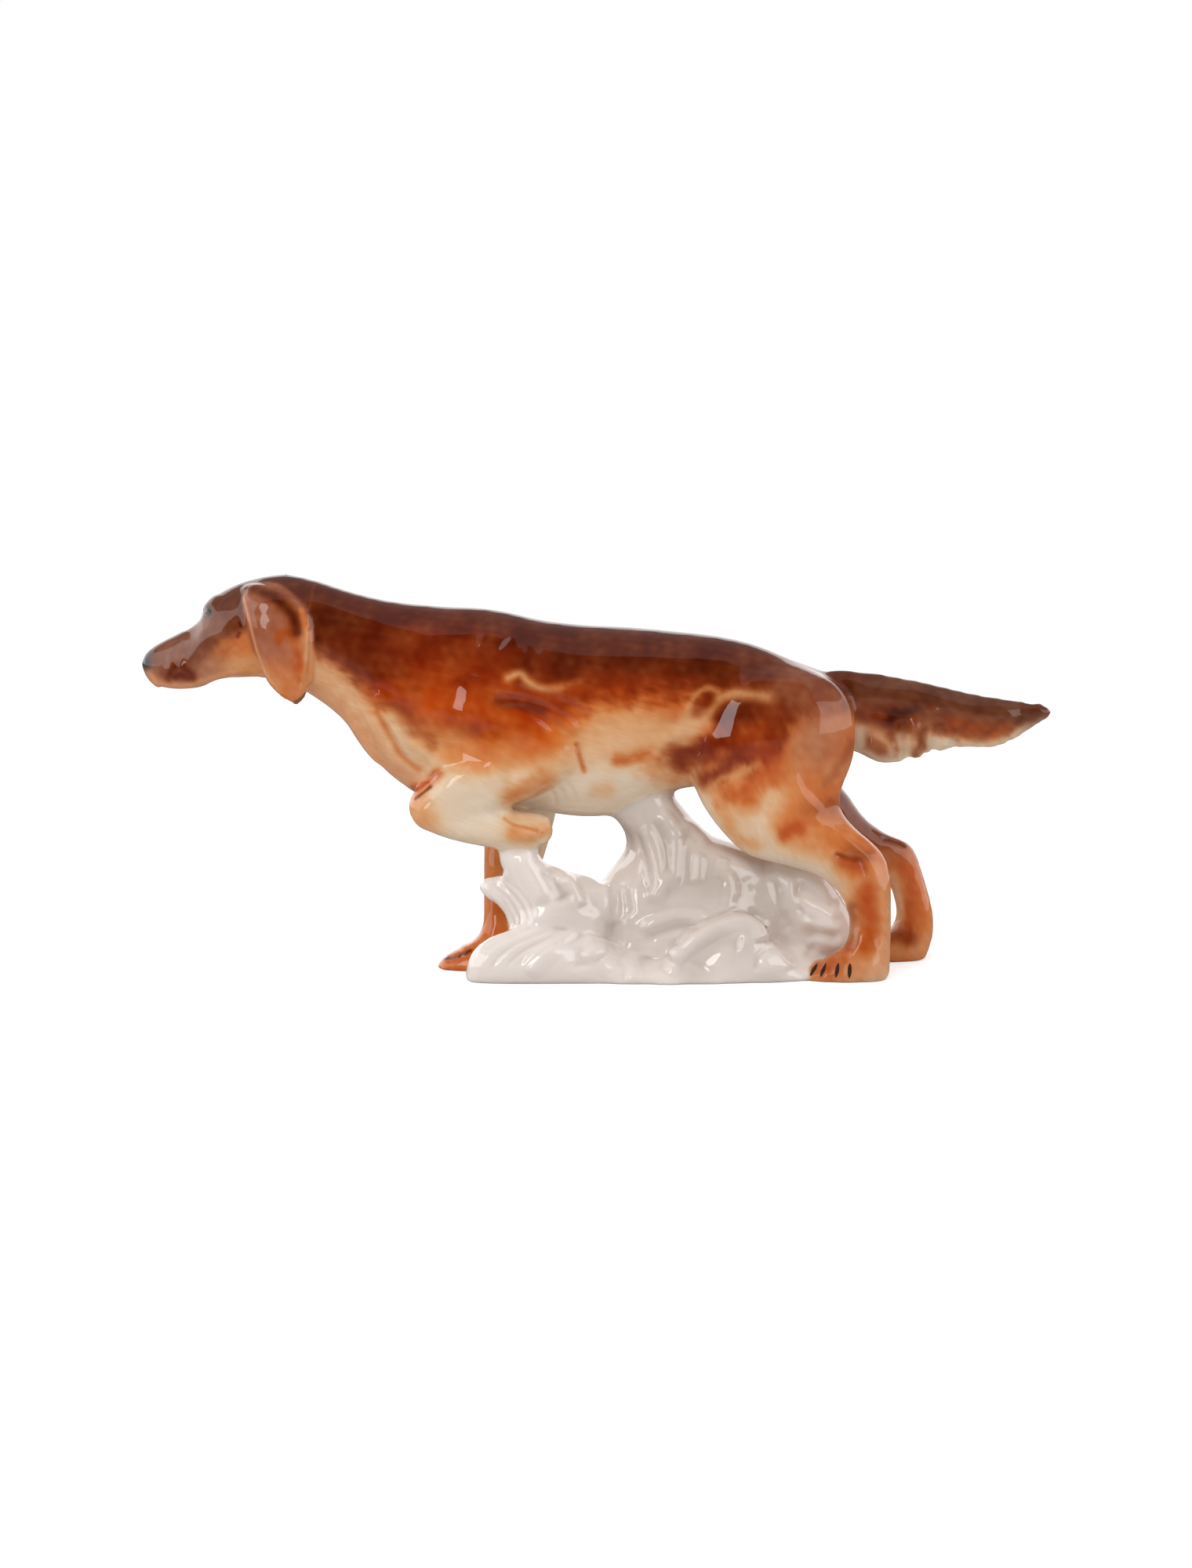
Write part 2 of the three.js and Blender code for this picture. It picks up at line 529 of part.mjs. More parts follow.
// The tuft that carries the raised paw.
const pawTuft = (grow = 0) => loft([
  underBody([5, 39.1], [14.4, 39.1], 0.4, { y: PAW_Y + 1 }),
  underBody([3.5, 33.5], [15.2, 32.8], 0.44, { y: PAW_Y + 1 }),
  underBody([4.7, 29.8], [20.8, 29.9], 0.54, { y: PAW_Y + 2 }),
  underBody([6.1, 24.1], [28.8, 27.5], 0.66, { y: PAW_Y + 3 }),
  underBody([7.6, 17.3], [35.6, 22.6], 0.84, { y: PAW_Y + 4 }),
  underBody([9.1, 9.8], [34.8, 12], 1, { y: PAW_Y + 5 }),
  underBody([9.8, 3.8], [36.4, 4.5], 1, { y: PAW_Y + 5 }),
], { width: TUFT_WIDTH, steps: 12, ...FLUTED, grow });

// The wave crest that curls forwards past the standing foreleg.
const crestTuft = (grow = 0) => loft([
  onCrest([-1.9, 89.8], [-1.7, 92.6], 0.1, { y: -9 }),
  onCrest([-1.1, 83.5], [0.3, 95.6], 0.26, { y: -9 }),
  onCrest([1.1, 75.5], [4.8, 100], 0.4, { y: -9 }),
  onCrest([4.2, 69], [9.8, 97.8], 0.5, { y: -9 }),
  onCrest([6.1, 56.6], [13.6, 82.4], 0.6, { y: -9 }),
  onCrest([6.5, 36.8], [16.7, 52.2], 0.74, { y: -9 }),
  onCrest([6.1, 16.5], [17.4, 22], 0.86, { y: -9 }),
], { width: TUFT_WIDTH, steps: 12, ...FLUTED, grow });

// The fanned leaf that fills the arch between the near hock and the ground.
const rearLeaf = (grow = 0) => loft([
  onLeaf([71.2, 32.6], [72.7, 83.7], 0.4, { y: -3 }),
  onLeaf([77.3, 20.9], [78, 97.7], 0.62, { y: -3 }),
  onLeaf([84.8, 14], [85.6, 100], 0.7, { y: -3 }),
  onLeaf([92.4, 11.6], [92.4, 87.4], 0.64, { y: -3 }),
  onLeaf([97.7, 11.6], [98.5, 62.8], 0.5, { y: -3 }),
  onLeaf([101.5, 16.3], [102.3, 39.5], 0.3, { y: -3 }),
], { width: TUFT_WIDTH, steps: 11, ...FLUTED, grow });

function ventHole() {
  const hole = new THREE.CylinderGeometry(VENT.radius, VENT.radius, 2 * VENT.depth, 24);
  hole.rotateX(Math.PI / 2);
  hole.translate(ROCK_MIDDLE + VENT.x, VENT.y, 0);
  return solidOf(hole);
}

// The castings, each cut back from what carries it by the seam

const dog = [body, nearHindLeg, farHindLeg, standingForeleg, raisedForeleg];
const grownDog = joined(...dog.map((form) => form(SEAM)));

const castings = {
  body: [body(), CHESTNUT],
  head: [head(), CHESTNUT],
  left_ear: [cut(ear(-1, LEFT_EAR), head(SEAM), body(SEAM)), DARK_COAT],
  right_ear: [cut(ear(1, RIGHT_EAR), head(SEAM), body(SEAM)), DARK_COAT],
  tail: [cut(tail(), body(SEAM), nearHindLeg(SEAM), farHindLeg(SEAM)), DARK_COAT],
  left_foreleg: [cut(raisedForeleg(), body(SEAM)), TAN],
  right_foreleg: [cut(standingForeleg(), body(SEAM), raisedForeleg(SEAM), GROUND), TAN],
  left_hind_leg: [cut(nearHindLeg(), body(SEAM), GROUND), CHESTNUT],
  right_hind_leg: [cut(farHindLeg(), body(SEAM), nearHindLeg(SEAM), GROUND), CHESTNUT],
  rock_base: [cut(rockBase(), grownDog, GROUND, ventHole()), ROCK_WHITE],
  belly_column: [cut(bellyColumn(), grownDog, rockBase(SEAM)), ROCK_WHITE],
  paw_tuft: [cut(pawTuft(), grownDog, rockBase(SEAM), bellyColumn(SEAM)), ROCK_WHITE],
  crest_tuft: [cut(crestTuft(), grownDog, rockBase(SEAM), pawTuft(SEAM)), ROCK_WHITE],
  rear_leaf: [cut(rearLeaf(), grownDog, rockBase(SEAM), bellyColumn(SEAM)), ROCK_WHITE],
};

const assembly = new THREE.Group();
for (const [name, [solid, color]] of Object.entries(castings)) {
  const glaze = new THREE.MeshStandardMaterial({ color, roughness: 0.12, metalness: 0 });
  const mesh = new THREE.Mesh(geometryOf(solid), glaze);
  mesh.name = name;
  assembly.add(mesh);
}

// The castings are centred over the origin.
const bounds = new THREE.Box3().setFromObject(assembly);
const middle = bounds.getCenter(new THREE.Vector3());
assembly.position.set(-middle.x, -middle.y, -bounds.min.z);

const figure = new THREE.Group();
figure.add(assembly);

export default figure;
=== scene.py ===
"""Models, paints, glazes and stages a porcelain setter that points over white rockwork."""

import json
import math
from typing import NamedTuple

import bmesh
import bpy
import numpy as np
from bpy.props import FloatProperty, FloatVectorProperty, IntProperty, PointerProperty
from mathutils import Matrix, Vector
from mathutils.bvhtree import BVHTree

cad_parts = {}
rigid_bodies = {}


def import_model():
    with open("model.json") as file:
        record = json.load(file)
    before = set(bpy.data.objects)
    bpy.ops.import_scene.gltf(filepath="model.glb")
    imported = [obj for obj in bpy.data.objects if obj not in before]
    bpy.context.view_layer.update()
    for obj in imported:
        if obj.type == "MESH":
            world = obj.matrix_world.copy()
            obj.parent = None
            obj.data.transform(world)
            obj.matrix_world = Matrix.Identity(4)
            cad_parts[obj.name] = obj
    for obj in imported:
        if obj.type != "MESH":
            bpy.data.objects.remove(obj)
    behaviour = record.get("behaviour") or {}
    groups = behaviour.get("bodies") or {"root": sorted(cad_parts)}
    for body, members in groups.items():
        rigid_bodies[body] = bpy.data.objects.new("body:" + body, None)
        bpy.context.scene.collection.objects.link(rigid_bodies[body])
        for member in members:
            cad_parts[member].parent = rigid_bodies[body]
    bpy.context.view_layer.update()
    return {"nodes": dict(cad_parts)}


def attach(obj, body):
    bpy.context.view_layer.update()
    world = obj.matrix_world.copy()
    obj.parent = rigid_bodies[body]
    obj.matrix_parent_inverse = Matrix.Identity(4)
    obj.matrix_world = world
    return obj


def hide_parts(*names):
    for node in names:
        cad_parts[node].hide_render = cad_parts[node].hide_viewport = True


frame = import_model()

bl_info = {
    "name": "Porcelain Setter",
    "version": (1, 0, 0),
    "blender": (4, 5, 0),
    "location": "3D View > Sidebar > Setter",
    "description": "Models, paints, glazes and stages a porcelain setter over white rockwork",
    "category": "Object",
}

MM = 0.001
HEAD_AND_EARS = ("head", "left_ear", "right_ear")
LEGS = ("left_foreleg", "right_foreleg", "left_hind_leg", "right_hind_leg")
DOG = ("body", *HEAD_AND_EARS, "tail", *LEGS)
ROCK = ("rock_base", "belly_column", "paw_tuft", "crest_tuft", "rear_leaf")
CASTINGS = DOG + ROCK

# Sides a stroke goes on: the near side, the limb as it is seen, or the near side and its mirror image
NEAR, SEEN, BOTH = "near", "seen", "both"

# The photograph's view: its middle in its own pixels, and the rest in millimetres
PHOTO_MIDDLE = (760, 1000)
PHOTO_PIXEL = 0.285
PHOTO_ROWS = 2000
VIEW_SIDE = 0.4
VIEW_HEIGHT = 68.7
VIEW_DISTANCE = 1300
VIEW_ELEVATION = math.radians(8.5)

# How the hair lies on each casting, as an angle in side view
HAIR_LIES = {
    "body": -14, "head": 42, "left_ear": -78, "right_ear": -78, "tail": -28,
    "left_foreleg": -25, "right_foreleg": -80, "left_hind_leg": -62, "right_hind_leg": -62,
}


class Form(NamedTuple):
    """A ridge, groove or sponged strip that is modelled along a line of photograph pixels."""

    what: str
    line: list
    width: float
    depth: float
    taper: float
    side: str
    castings: str


class Spray(NamedTuple):
    """A colour that is airbrushed along a line of photograph pixels, or above it."""

    what: str
    colour: str
    line: list
    width: float
    soft: float
    strength: float
    ragged: float
    side: str
    castings: str


def grouped(kind, rows):
    """Strokes in groups: a title starts a group, a pair gives the side and castings of the rows after it."""
    groups = []
    for row in rows:
        if isinstance(row, str):
            groups.append([])
        elif len(row) == 2:
            where = row
        else:
            groups[-1].append(kind(*row, *where))
    return groups


# Scale of the brush marks along the hair, across it and through the figure, per millimetre
HAIR_STRETCH = (0.16, 1.3, 0.3)


# Ripples, each with its seed, its size in millimetres and its strength: edges of sprayed colours, and clouds
EDGE_RIPPLES = ((3, 4.0, 0.8), (8, 1.4, 0.35))
EDGE_STRETCH = (0.5, 1.0, 0.5)
CLOUD_RIPPLES = ((21, 9.0, 0.06), (34, 3.0, 0.035))

# How long a ripple's waves are at least and at most, as shares of its size
WAVE_LENGTHS = (0.7, 1.9)

# How far castings pass into each other: rounds, how soon a casting counts fully, and what counts as none
SHARE_ROUNDS = 6
SHARE_GAIN = 1.6
SHARE_LEAST = 0.01

# How far a surface has to face the near side for a stroke to start and to land fully
FACING_EDGE = (-0.15, 0.25)

# How far a spray reaches, and how wide it lies, as shares of its width, its softness and its raggedness
SPRAY_REACH = (1.0, 1.2, 3.0)
SPRAY_SPREAD = (0.6, 0.28)

# Softening of the joined castings: these stay crisper, and the strengths pass into each other
CRISP_CASTINGS = ("left_ear", "right_ear", "crest_tuft", "paw_tuft", "rear_leaf", "tail")
CRISP_STRENGTH = 0.25
SOFT_STRENGTH = 0.5
STRENGTH_ROUNDS = 8

# Rounds in which borders between castings are evened out, and stray patches joined at most
BORDER_ROUNDS = 4
STRAY_ROUNDS = 3

# How long a strip is sponged, and how far up its bump it counts fully
SPONGE_ROUNDS = 60
SPONGE_EDGE = 0.5

# Pits that slip fills where castings meet: how often, and from which depth to which, in millimetres. The
# depth is measured against the surface that some rounds of sponging leave, and other rounds fill it.
PIT_ROUNDS = 4
PIT_DEPTHS = (0.2, 0.5)
PIT_SPONGING = 8
PIT_FILLING = 12

# Pooled glaze and painted shade in the rock's hollows: sponging rounds, depth in millimetres for full tint,
# tint
POOL_SHADE_SPONGING = 12
POOL_SHADE_DEPTH = 0.5
POOL_SHADE_TINT = 0.7

# How deep under the surface a casting's hidden edge lies, in millimetres, and how much deeper its hidden cap
# lies at most, in millimetres and as a share of the edge's extent
LUTED_DEPTH = 0.8
CAP_DEPTH = 2.4
CAP_SHARE = 0.04

# Claws of the near hind foot: the casting, and each stroke's top and bottom in the photograph
CLAWS = (
    ("left_hind_leg", (1042, 1229), (1034, 1243)),
    ("left_hind_leg", (1053, 1229), (1047, 1244)),
    ("left_hind_leg", (1069, 1229), (1066, 1245)),
    ("left_hind_leg", (1084, 1229), (1083, 1246)),
)
CLAW_BEADS = 11

# A bead's length in widths and its depth in heights, and how its size follows a sine along the claw
CLAW_LENGTH = 1.2
CLAW_DEPTH = 4
CLAW_TIP = 0.3
CLAW_SWELL = (0.08, 0.8)

# Specks of the worn enamel and how much lighter they are, and the waves of the clear glaze
SPECKLES_PER_METRE = 900
ENAMEL_WEAR = 2.5
WAVES_PER_METRE = 90

# The light tent: its open front as sideways and upward slopes, and the window in degrees
OPENING_SHIFT = -0.3
OPENING_WIDTH = 0.96
OPENING_HEIGHT = 1.54
OPENING_TILT = -0.7
WINDOW_AZIMUTH = -35
WINDOW_WIDTH = 9
WINDOW_HEIGHT = 20
WINDOW_TALL = 30
ROOF_SLOPE = 0.55

# The soft lamp: its direction in degrees, its distance and width in metres
LAMP_AZIMUTH = -14
LAMP_HEIGHT = 46
LAMP_DISTANCE = 1.2
LAMP_WIDTH = 0.8

WHITE = (1, 1, 1, 1)

# The floor: its own glow for the camera, its grey, and its darker grey where the glaze mirrors it
FLOOR_LIFT = 0.45
FLOOR_GREY = 0.8
FLOOR_IN_GLAZE = 0.25

# The camera's sensor in millimetres
SENSOR = 36

# Forms in groups: name, line in photograph pixels, width, depth and taper, in millimetres and as a share
FORMS = grouped(Form, [
    "Head and ears",
    (BOTH, "head"),
    ("stop between brow and muzzle", [(243, 805), (252, 798), (258, 790)], 4, -0.6, 0),
    ("brow", [(262, 772), (272, 764)], 3.2, 0.6, 0),
    ("socket of the eye", [(265, 781)] * 2, 2.6, -0.5, 0),
    ("eye", [(265, 781)] * 2, 1.6, 0.6, 0),
    ("groove under the cheek", [(262, 850), (290, 842), (318, 846)], 5, -0.4, 0.3),
    ("flews", [(207, 852), (225, 854), (243, 851)], 6, 0.9, 0.3),
    ("upper lip", [(192, 866), (207, 874), (240, 875), (262, 869), (300, 859), (336, 857)], 1.6, 0.5, 0.08),
    ("mouth", [(200, 877), (225, 881), (245, 879), (262, 873), (300, 863), (336, 861)], 1.3, -0.8, 0.05),
    (NEAR, "left_ear"),
    ("front rim of the ear", [(309, 757), (315, 780), (321, 805), (328, 832), (339, 858), (353, 880)], 1.4,
     0.35, 0.1),
    ("rear rim of the ear", [(386, 780), (390, 800), (390, 825), (388, 850), (383, 872)], 1.6, 0.6, 0.1),
    (NEAR, "head left_ear body"),
    ("fold over the ear's root", [(306, 757), (318, 749), (335, 750), (350, 756), (368, 764), (382, 777)],
     1.6, 0.6, 0.1),
    (NEAR, "left_ear body"),
    ("knot behind the ear", [(388, 786), (391, 798)], 2.4, 0.9, 0),
    (NEAR, "left_ear"),
    ("upper face of the ear", [(332, 770), (350, 776), (368, 792)], 9, None, 0),
    "Neck, trunk and forelegs",
    (BOTH, "body"),
    ("fold of the throat", [(482, 912), (498, 938), (512, 963), (535, 980), (548, 988)], 2.2, -0.9, 0.2),
    ("band in front of that fold", [(470, 912), (488, 945), (503, 968), (525, 990)], 3, 0.7, 0.2),
    ("ridge behind it", [(498, 915), (520, 945), (545, 960), (572, 972)], 3.2, 0.8, 0.2),
    ("second fold of the throat", [(455, 908), (468, 935), (480, 960), (500, 985)], 2.0, -0.7, 0.2),
    ("sinew of the throat", [(440, 905), (452, 930), (468, 955), (488, 978)], 1.6, 0.6, 0.2),
    ("tufts of the throat", [(478, 884), (490, 892), (502, 897)], 3, 0.5, 0.2),
    (BOTH, "body left_foreleg"),
    ("front of the shoulder", [(550, 885), (570, 915), (590, 950)], 9, 0.7, 0.3),
    (BOTH, "body"),
    ("shoulder blade", [(610, 808), (632, 815), (645, 825)], 8, 1.0, 0.2),
    ("edge of the shoulder blade", [(655, 812), (672, 815), (678, 835), (668, 852)], 4.5, -0.6, 0.2),
    (BOTH, "body left_foreleg"),
    ("groove over the shoulder", [(545, 850), (580, 845), (615, 850), (650, 862), (690, 880), (720, 878)], 5,
     -0.7, 0.2),
    ("loin ridge", [(655, 858), (680, 872), (705, 875), (740, 862)], 3.4, 0.5, 0.2),
    (NEAR, "body left_foreleg"),
    ("shelf of the upper arm", [(628, 893), (660, 893), (697, 906), (722, 922), (740, 940)], 3.6, 1.3, 0.15),
    ("hollow over the upper arm", [(630, 880), (690, 888), (735, 906), (752, 930)], 4, -0.7, 0.2),
    ("elbow crease", [(735, 945), (741, 962), (746, 988)], 1.6, -0.8, 0.15),
    (BOTH, "body"),
    ("ribs", [(790, 880), (830, 900), (850, 930)], 12, 0.7, 0.3),
    ("flank hollow", [(868, 905), (880, 940), (872, 975)], 9, -0.9, 0.3),
    (NEAR, "body left_foreleg"),
    ("wrist crease", [(530, 1020), (541, 1011), (557, 994)], 1.2, -1.1, 0.1),
    (NEAR, "left_foreleg"),
    ("knuckle of the wrist", [(533, 1030), (538, 1045)], 6, 0.4, 0),
    ("forearm muscle", [(600, 1012), (660, 1006), (705, 992)], 9, 0.4, 0.3),
    (NEAR, "left_foreleg body"),
    ("crevice behind the forearm", [(655, 1026), (680, 1020), (705, 1016)], 5, None, 0),
    (NEAR, "left_foreleg"),
    ("edge of the folded paw", [(643, 1044), (654, 1052), (671, 1056), (690, 1061)], 1.4, -0.5, 0.15),
    ("toe of the folded paw", [(655, 1062), (678, 1064), (692, 1058)], 3.4, 0.5, 0.2),
    (NEAR, "left_foreleg paw_tuft"),
    ("rim of the raised paw", [(697, 1038), (698, 1050), (701, 1060), (698, 1070), (686, 1076)], 1.6, 0.6,
     0.15),
    (SEEN, "right_foreleg"),
    ("instep of the standing foot", [(585, 1212), (605, 1205), (622, 1192)], 2.6, 0.6, 0.2),
    ("toe crease of that foot", [(565, 1222), (585, 1222), (605, 1214), (620, 1204)], 1.3, -0.8, 0.15),
    (NEAR, "body left_foreleg"),
    ("slope over the forearm", [(548, 992), (575, 988), (600, 981), (625, 973), (652, 973)], 12, 3.2, 0.12),
    (NEAR, "left_foreleg body"),
    ("top of the forearm", [(545, 996), (580, 984), (620, 974), (660, 972)], 15, None, 0),
    (NEAR, "body"),
    ("first line of the fringe", [(697, 1002), (706, 1014), (709, 1030)], 1.3, -0.4, 0.2),
    ("second line of the fringe", [(708, 999), (718, 1012), (722, 1027)], 1.3, -0.4, 0.2),
    ("third line of the fringe", [(719, 996), (730, 1008), (735, 1024)], 1.3, -0.4, 0.2),
    "Hindquarters and tip of the tail",
    (BOTH, "left_hind_leg right_hind_leg body"),
    ("muscle of the thigh", [(975, 880), (990, 925), (995, 970)], 14, 0.5, 0.3),
    (BOTH, "left_hind_leg right_hind_leg"),
    ("groove of the thigh", [(1028, 925), (1022, 955), (1030, 1000), (1055, 1030)], 4, -0.8, 0.3),
    ("stifle", [(955, 1040), (975, 1060)], 7, 0.7, 0),
    (NEAR, "left_hind_leg"),
    ("crease of the hock", [(1062, 1088), (1080, 1095), (1097, 1097), (1103, 1110), (1108, 1122)], 1.3, -0.9,
     0.15),
    ("hollow of the hock", [(1070, 1108), (1090, 1112)], 4, -0.5, 0),
    ("tendon of the shank", [(1050, 1050), (1085, 1075), (1112, 1105), (1124, 1150), (1126, 1200)], 3.4, 0.7,
     0.2),
    ("edge of the cannon", [(1120, 1130), (1121, 1175), (1119, 1212)], 1.6, -0.5, 0.2),
    ("front of the cannon", [(1090, 1150), (1089, 1190)], 3, -0.4, 0.2),
    ("pad of the hind foot", [(1110, 1235)] * 2, 7, 0.4, 0),
    (SEEN, "right_hind_leg"),
    ("line on the far shank", [(1122, 1069), (1140, 1073), (1154, 1080)], 1.2, -0.5, 0.2),
    (NEAR, "left_hind_leg"),
    ("gap beside the first toe", [(1059, 1212), (1048, 1226), (1039, 1240)], 1.6, -0.5, 0.2),
    ("gap beside the second toe", [(1071, 1213), (1061, 1230), (1055, 1244)], 1.6, -0.5, 0.2),
    ("gap beside the third toe", [(1084, 1215), (1077, 1232), (1073, 1246)], 1.6, -0.5, 0.2),
    (BOTH, "tail"),
    ("round tip of the tail", [(1325, 905), (1331, 909)], 3.5, 0.9, 0),
    "Tail",
    (BOTH, "tail"),
    ("shelf of the tail", [(1085, 892), (1110, 887), (1170, 889), (1210, 901), (1240, 909), (1310, 914)], 7,
     0.9, 0.15),
    ("hollow under the shelf", [(1100, 905), (1140, 912), (1195, 918)], 3, -0.7, 0.2),
    ("facet of the tail", [(1168, 918), (1190, 908)], 3, 0.9, 0),
    ("belly of the feathering", [(1103, 945), (1125, 958), (1146, 950)], 5, 1.5, 0.2),
    ("first feather fold", [(1151, 918), (1153, 945), (1158, 974)], 3, -2.0, 0.15),
    ("second feather ridge", [(1170, 920), (1166, 945), (1170, 966)], 2.8, 1.4, 0.2),
    ("second feather fold", [(1180, 925), (1177, 950), (1181, 970)], 2.2, -1.4, 0.2),
    ("third feather fold", [(1200, 920), (1194, 945), (1187, 968)], 2.8, -1.6, 0.15),
    ("fourth feather ridge", [(1222, 918), (1212, 938), (1200, 955)], 2.2, 0.8, 0.2),
    ("fourth feather fold", [(1238, 918), (1226, 938), (1212, 955)], 2.2, -0.8, 0.2),
    ("fifth feather fold", [(1284, 915), (1264, 935), (1248, 953)], 2.2, -0.8, 0.2),
    ("sixth feather fold", [(1312, 914), (1296, 928), (1280, 948)], 2.0, -0.8, 0.2),
    "Crest and paw tuft",
    (NEAR, "crest_tuft paw_tuft"),
    ("lip of the crest", [(614, 1124), (632, 1121), (650, 1114)], 2.4, 0.8, 0.1),
    (NEAR, "crest_tuft rock_base"),
    ("edge of the crest", [(618, 1128), (634, 1145), (645, 1165), (648, 1188)], 2.0, 0.6, 0.1),
    ("first comb line of the crest", [(622, 1129), (640, 1148), (652, 1170), (658, 1190)], 1.3, -0.5, 0.15),
    (NEAR, "crest_tuft rock_base paw_tuft"),
    ("second comb line", [(628, 1127), (648, 1146), (660, 1168), (667, 1187)], 1.3, -0.5, 0.15),
    ("third comb line", [(637, 1125), (656, 1143), (669, 1163), (677, 1181)], 1.3, -0.45, 0.15),
    ("fourth comb line", [(646, 1122), (664, 1139), (678, 1158), (686, 1174)], 1.3, -0.35, 0.2),
    (NEAR, "paw_tuft rock_base crest_tuft"),
    ("rib of the paw tuft", [(662, 1085), (673, 1108), (685, 1132), (696, 1154)], 5, 1.5, 0.2),
    (NEAR, "paw_tuft rock_base"),
    ("channel of the paw tuft", [(696, 1102), (708, 1124), (717, 1142), (724, 1153)], 4.6, -2.1, 0.2),
    ("second rib of the paw tuft", [(716, 1116), (732, 1134), (743, 1158)], 3.6, 1.3, 0.2),
    (NEAR, "paw_tuft rock_base belly_column"),
    ("saddle hollow", [(746, 1130), (754, 1152)], 6, -1.4, 0),
    (NEAR, "rock_base belly_column paw_tuft"),
    ("saddle rib", [(768, 1122), (775, 1140), (777, 1162), (786, 1180)], 4, 1.4, 0.2),
    (NEAR, "rock_base belly_column"),
    ("groove beside the saddle rib", [(788, 1124), (795, 1150), (802, 1170)], 4, -1.0, 0.2),
    (NEAR, "paw_tuft rock_base belly_column"),
    ("join of tuft, mound and column", [(786, 1140), (787, 1160)], 5, None, 0),
    "Column",
    (NEAR, "belly_column"),
    ("hollow of the column's sheet", [(798, 1078), (804, 1110)], 8, -1.7, 0),
    (NEAR, "belly_column rock_base"),
    ("first groove of the column", [(812, 1050), (818, 1085), (824, 1115), (818, 1142)], 3.6, -0.8, 0.15),
    ("first fold of the column", [(818, 1052), (830, 1078), (838, 1100), (842, 1130), (829, 1152)], 4.4, 1.6,
     0.12),
    (NEAR, "belly_column"),
    ("second groove of the column", [(828, 1040), (845, 1065), (851, 1090), (851, 1122)], 3.2, -0.8, 0.2),
    (NEAR, "belly_column rock_base"),
    ("second fold of the column", [(836, 1035), (853, 1050), (862, 1075), (860, 1110), (849, 1142)], 4, 1.4,
     0.15),
    (NEAR, "belly_column"),
    ("third groove of the column", [(868, 1080), (878, 1110), (880, 1142)], 4.6, -0.8, 0.25),
    ("third fold of the column", [(862, 1074), (870, 1058), (880, 1053), (893, 1062), (904, 1078)], 3.6, 1.0,
     0.2),
    ("drip of the column", [(894, 1085), (891, 1110), (888, 1130)], 3, 1.0, 0.2),
    ("leaf tips on the column", [(917, 1120), (924, 1094)], 3, 0.7, 0.1),
    (NEAR, "belly_column rock_base"),
    ("leaf on the column", [(917, 1120), (930, 1122), (933, 1142), (926, 1170)], 4.4, 1.1, 0.2),
    ("groove beside that leaf", [(940, 1100), (945, 1135), (938, 1168)], 5, -0.9, 0.25),
    (NEAR, "belly_column rear_leaf rock_base"),
    ("hollow before the far fold", [(958, 1130), (968, 1165)], 6, -1.2, 0),
    ("far fold of the column", [(968, 1115), (984, 1150), (996, 1176)], 6, 0.9, 0.25),
    "Mound",
    (NEAR, "rock_base paw_tuft"),
    ("ridge of the front lobe", [(600, 1245), (622, 1208), (655, 1185), (700, 1168), (745, 1158)], 6, 1.2,
     0.2),
    (NEAR, "rock_base"),
    ("groove on the front lobe", [(652, 1240), (672, 1212), (706, 1192), (728, 1168)], 4.4, -0.8, 0.2),
    ("second ridge of the lobe", [(672, 1245), (690, 1222), (712, 1204)], 5, 0.9, 0.2),
    ("hollow beside the shell", [(727, 1190), (737, 1214), (741, 1240)], 6, -1.3, 0.2),
    ("shell", [(752, 1217), (766, 1213)], 3.4, 1.4, 0),
    ("knob beside the shell", [(773, 1234), (785, 1241)], 4.4, 0.9, 0),
    ("second knob", [(803, 1226), (808, 1243)], 4.2, 1.0, 0),
    ("ledge over the shell", [(742, 1199), (765, 1201), (787, 1199), (796, 1187)], 3.6, 0.9, 0.2),
    (NEAR, "rock_base belly_column"),
    ("upper wave", [(812, 1190), (836, 1178), (862, 1170), (888, 1171), (905, 1180)], 4.2, 1.3, 0.2),
    ("groove under the upper wave", [(816, 1201), (845, 1188), (872, 1181), (900, 1187)], 3.6, -0.8, 0.2),
    (NEAR, "rock_base"),
    ("middle wave", [(798, 1217), (836, 1201), (868, 1192), (900, 1190)], 4.2, 0.9, 0.2),
    ("groove under the middle wave", [(810, 1229), (842, 1213), (866, 1204)], 4, -0.8, 0.25),
    (NEAR, "rock_base belly_column"),
    ("groove over the roll", [(852, 1211), (875, 1195), (900, 1180), (930, 1167), (958, 1166), (976, 1180)],
     3.2, -0.8, 0.1),
    (NEAR, "rock_base"),
    ("roll of the wave", [(855, 1224), (878, 1204), (903, 1188), (932, 1175), (956, 1175), (968, 1185),
     (971, 1203)], 4.4, 2.3, 0.05),
    ("hollow inside the roll", [(884, 1240), (902, 1216), (926, 1202), (950, 1206)], 6, -1.6, 0.15),
    ("rib before the roll", [(852, 1243), (861, 1224), (872, 1210)], 4, 1.0, 0.2),
    ("end of the roll", [(981, 1230)] * 2, 7, 1.5, 0),
    ("ring round the end", [(964, 1240), (966, 1224), (976, 1212), (990, 1214)], 2.0, -0.6, 0.2),
    ("fold of the mound", [(976, 1200), (996, 1218), (1010, 1238)], 4, 0.9, 0.2),
    (NEAR, "rock_base belly_column rear_leaf"),
    ("second fold of the mound", [(1000, 1182), (1016, 1202), (1032, 1216)], 5, 1.0, 0.2),
    (NEAR, "rear_leaf belly_column"),
    ("hollow before the leaf", [(992, 1118), (997, 1150), (1004, 1178)], 5, -0.7, 0.25),
    (NEAR, "rear_leaf belly_column rock_base"),
    ("edge of the leaf", [(1003, 1110), (1006, 1145), (1014, 1170), (1038, 1194)], 4, 1.7, 0.2),
    (NEAR, "rear_leaf"),
    ("hollow of the leaf", [(1014, 1122), (1036, 1140), (1072, 1156)], 6, -1.1, 0.2),
    ("rib of the leaf", [(1012, 1140), (1036, 1157), (1074, 1170)], 4, 0.8, 0.25),
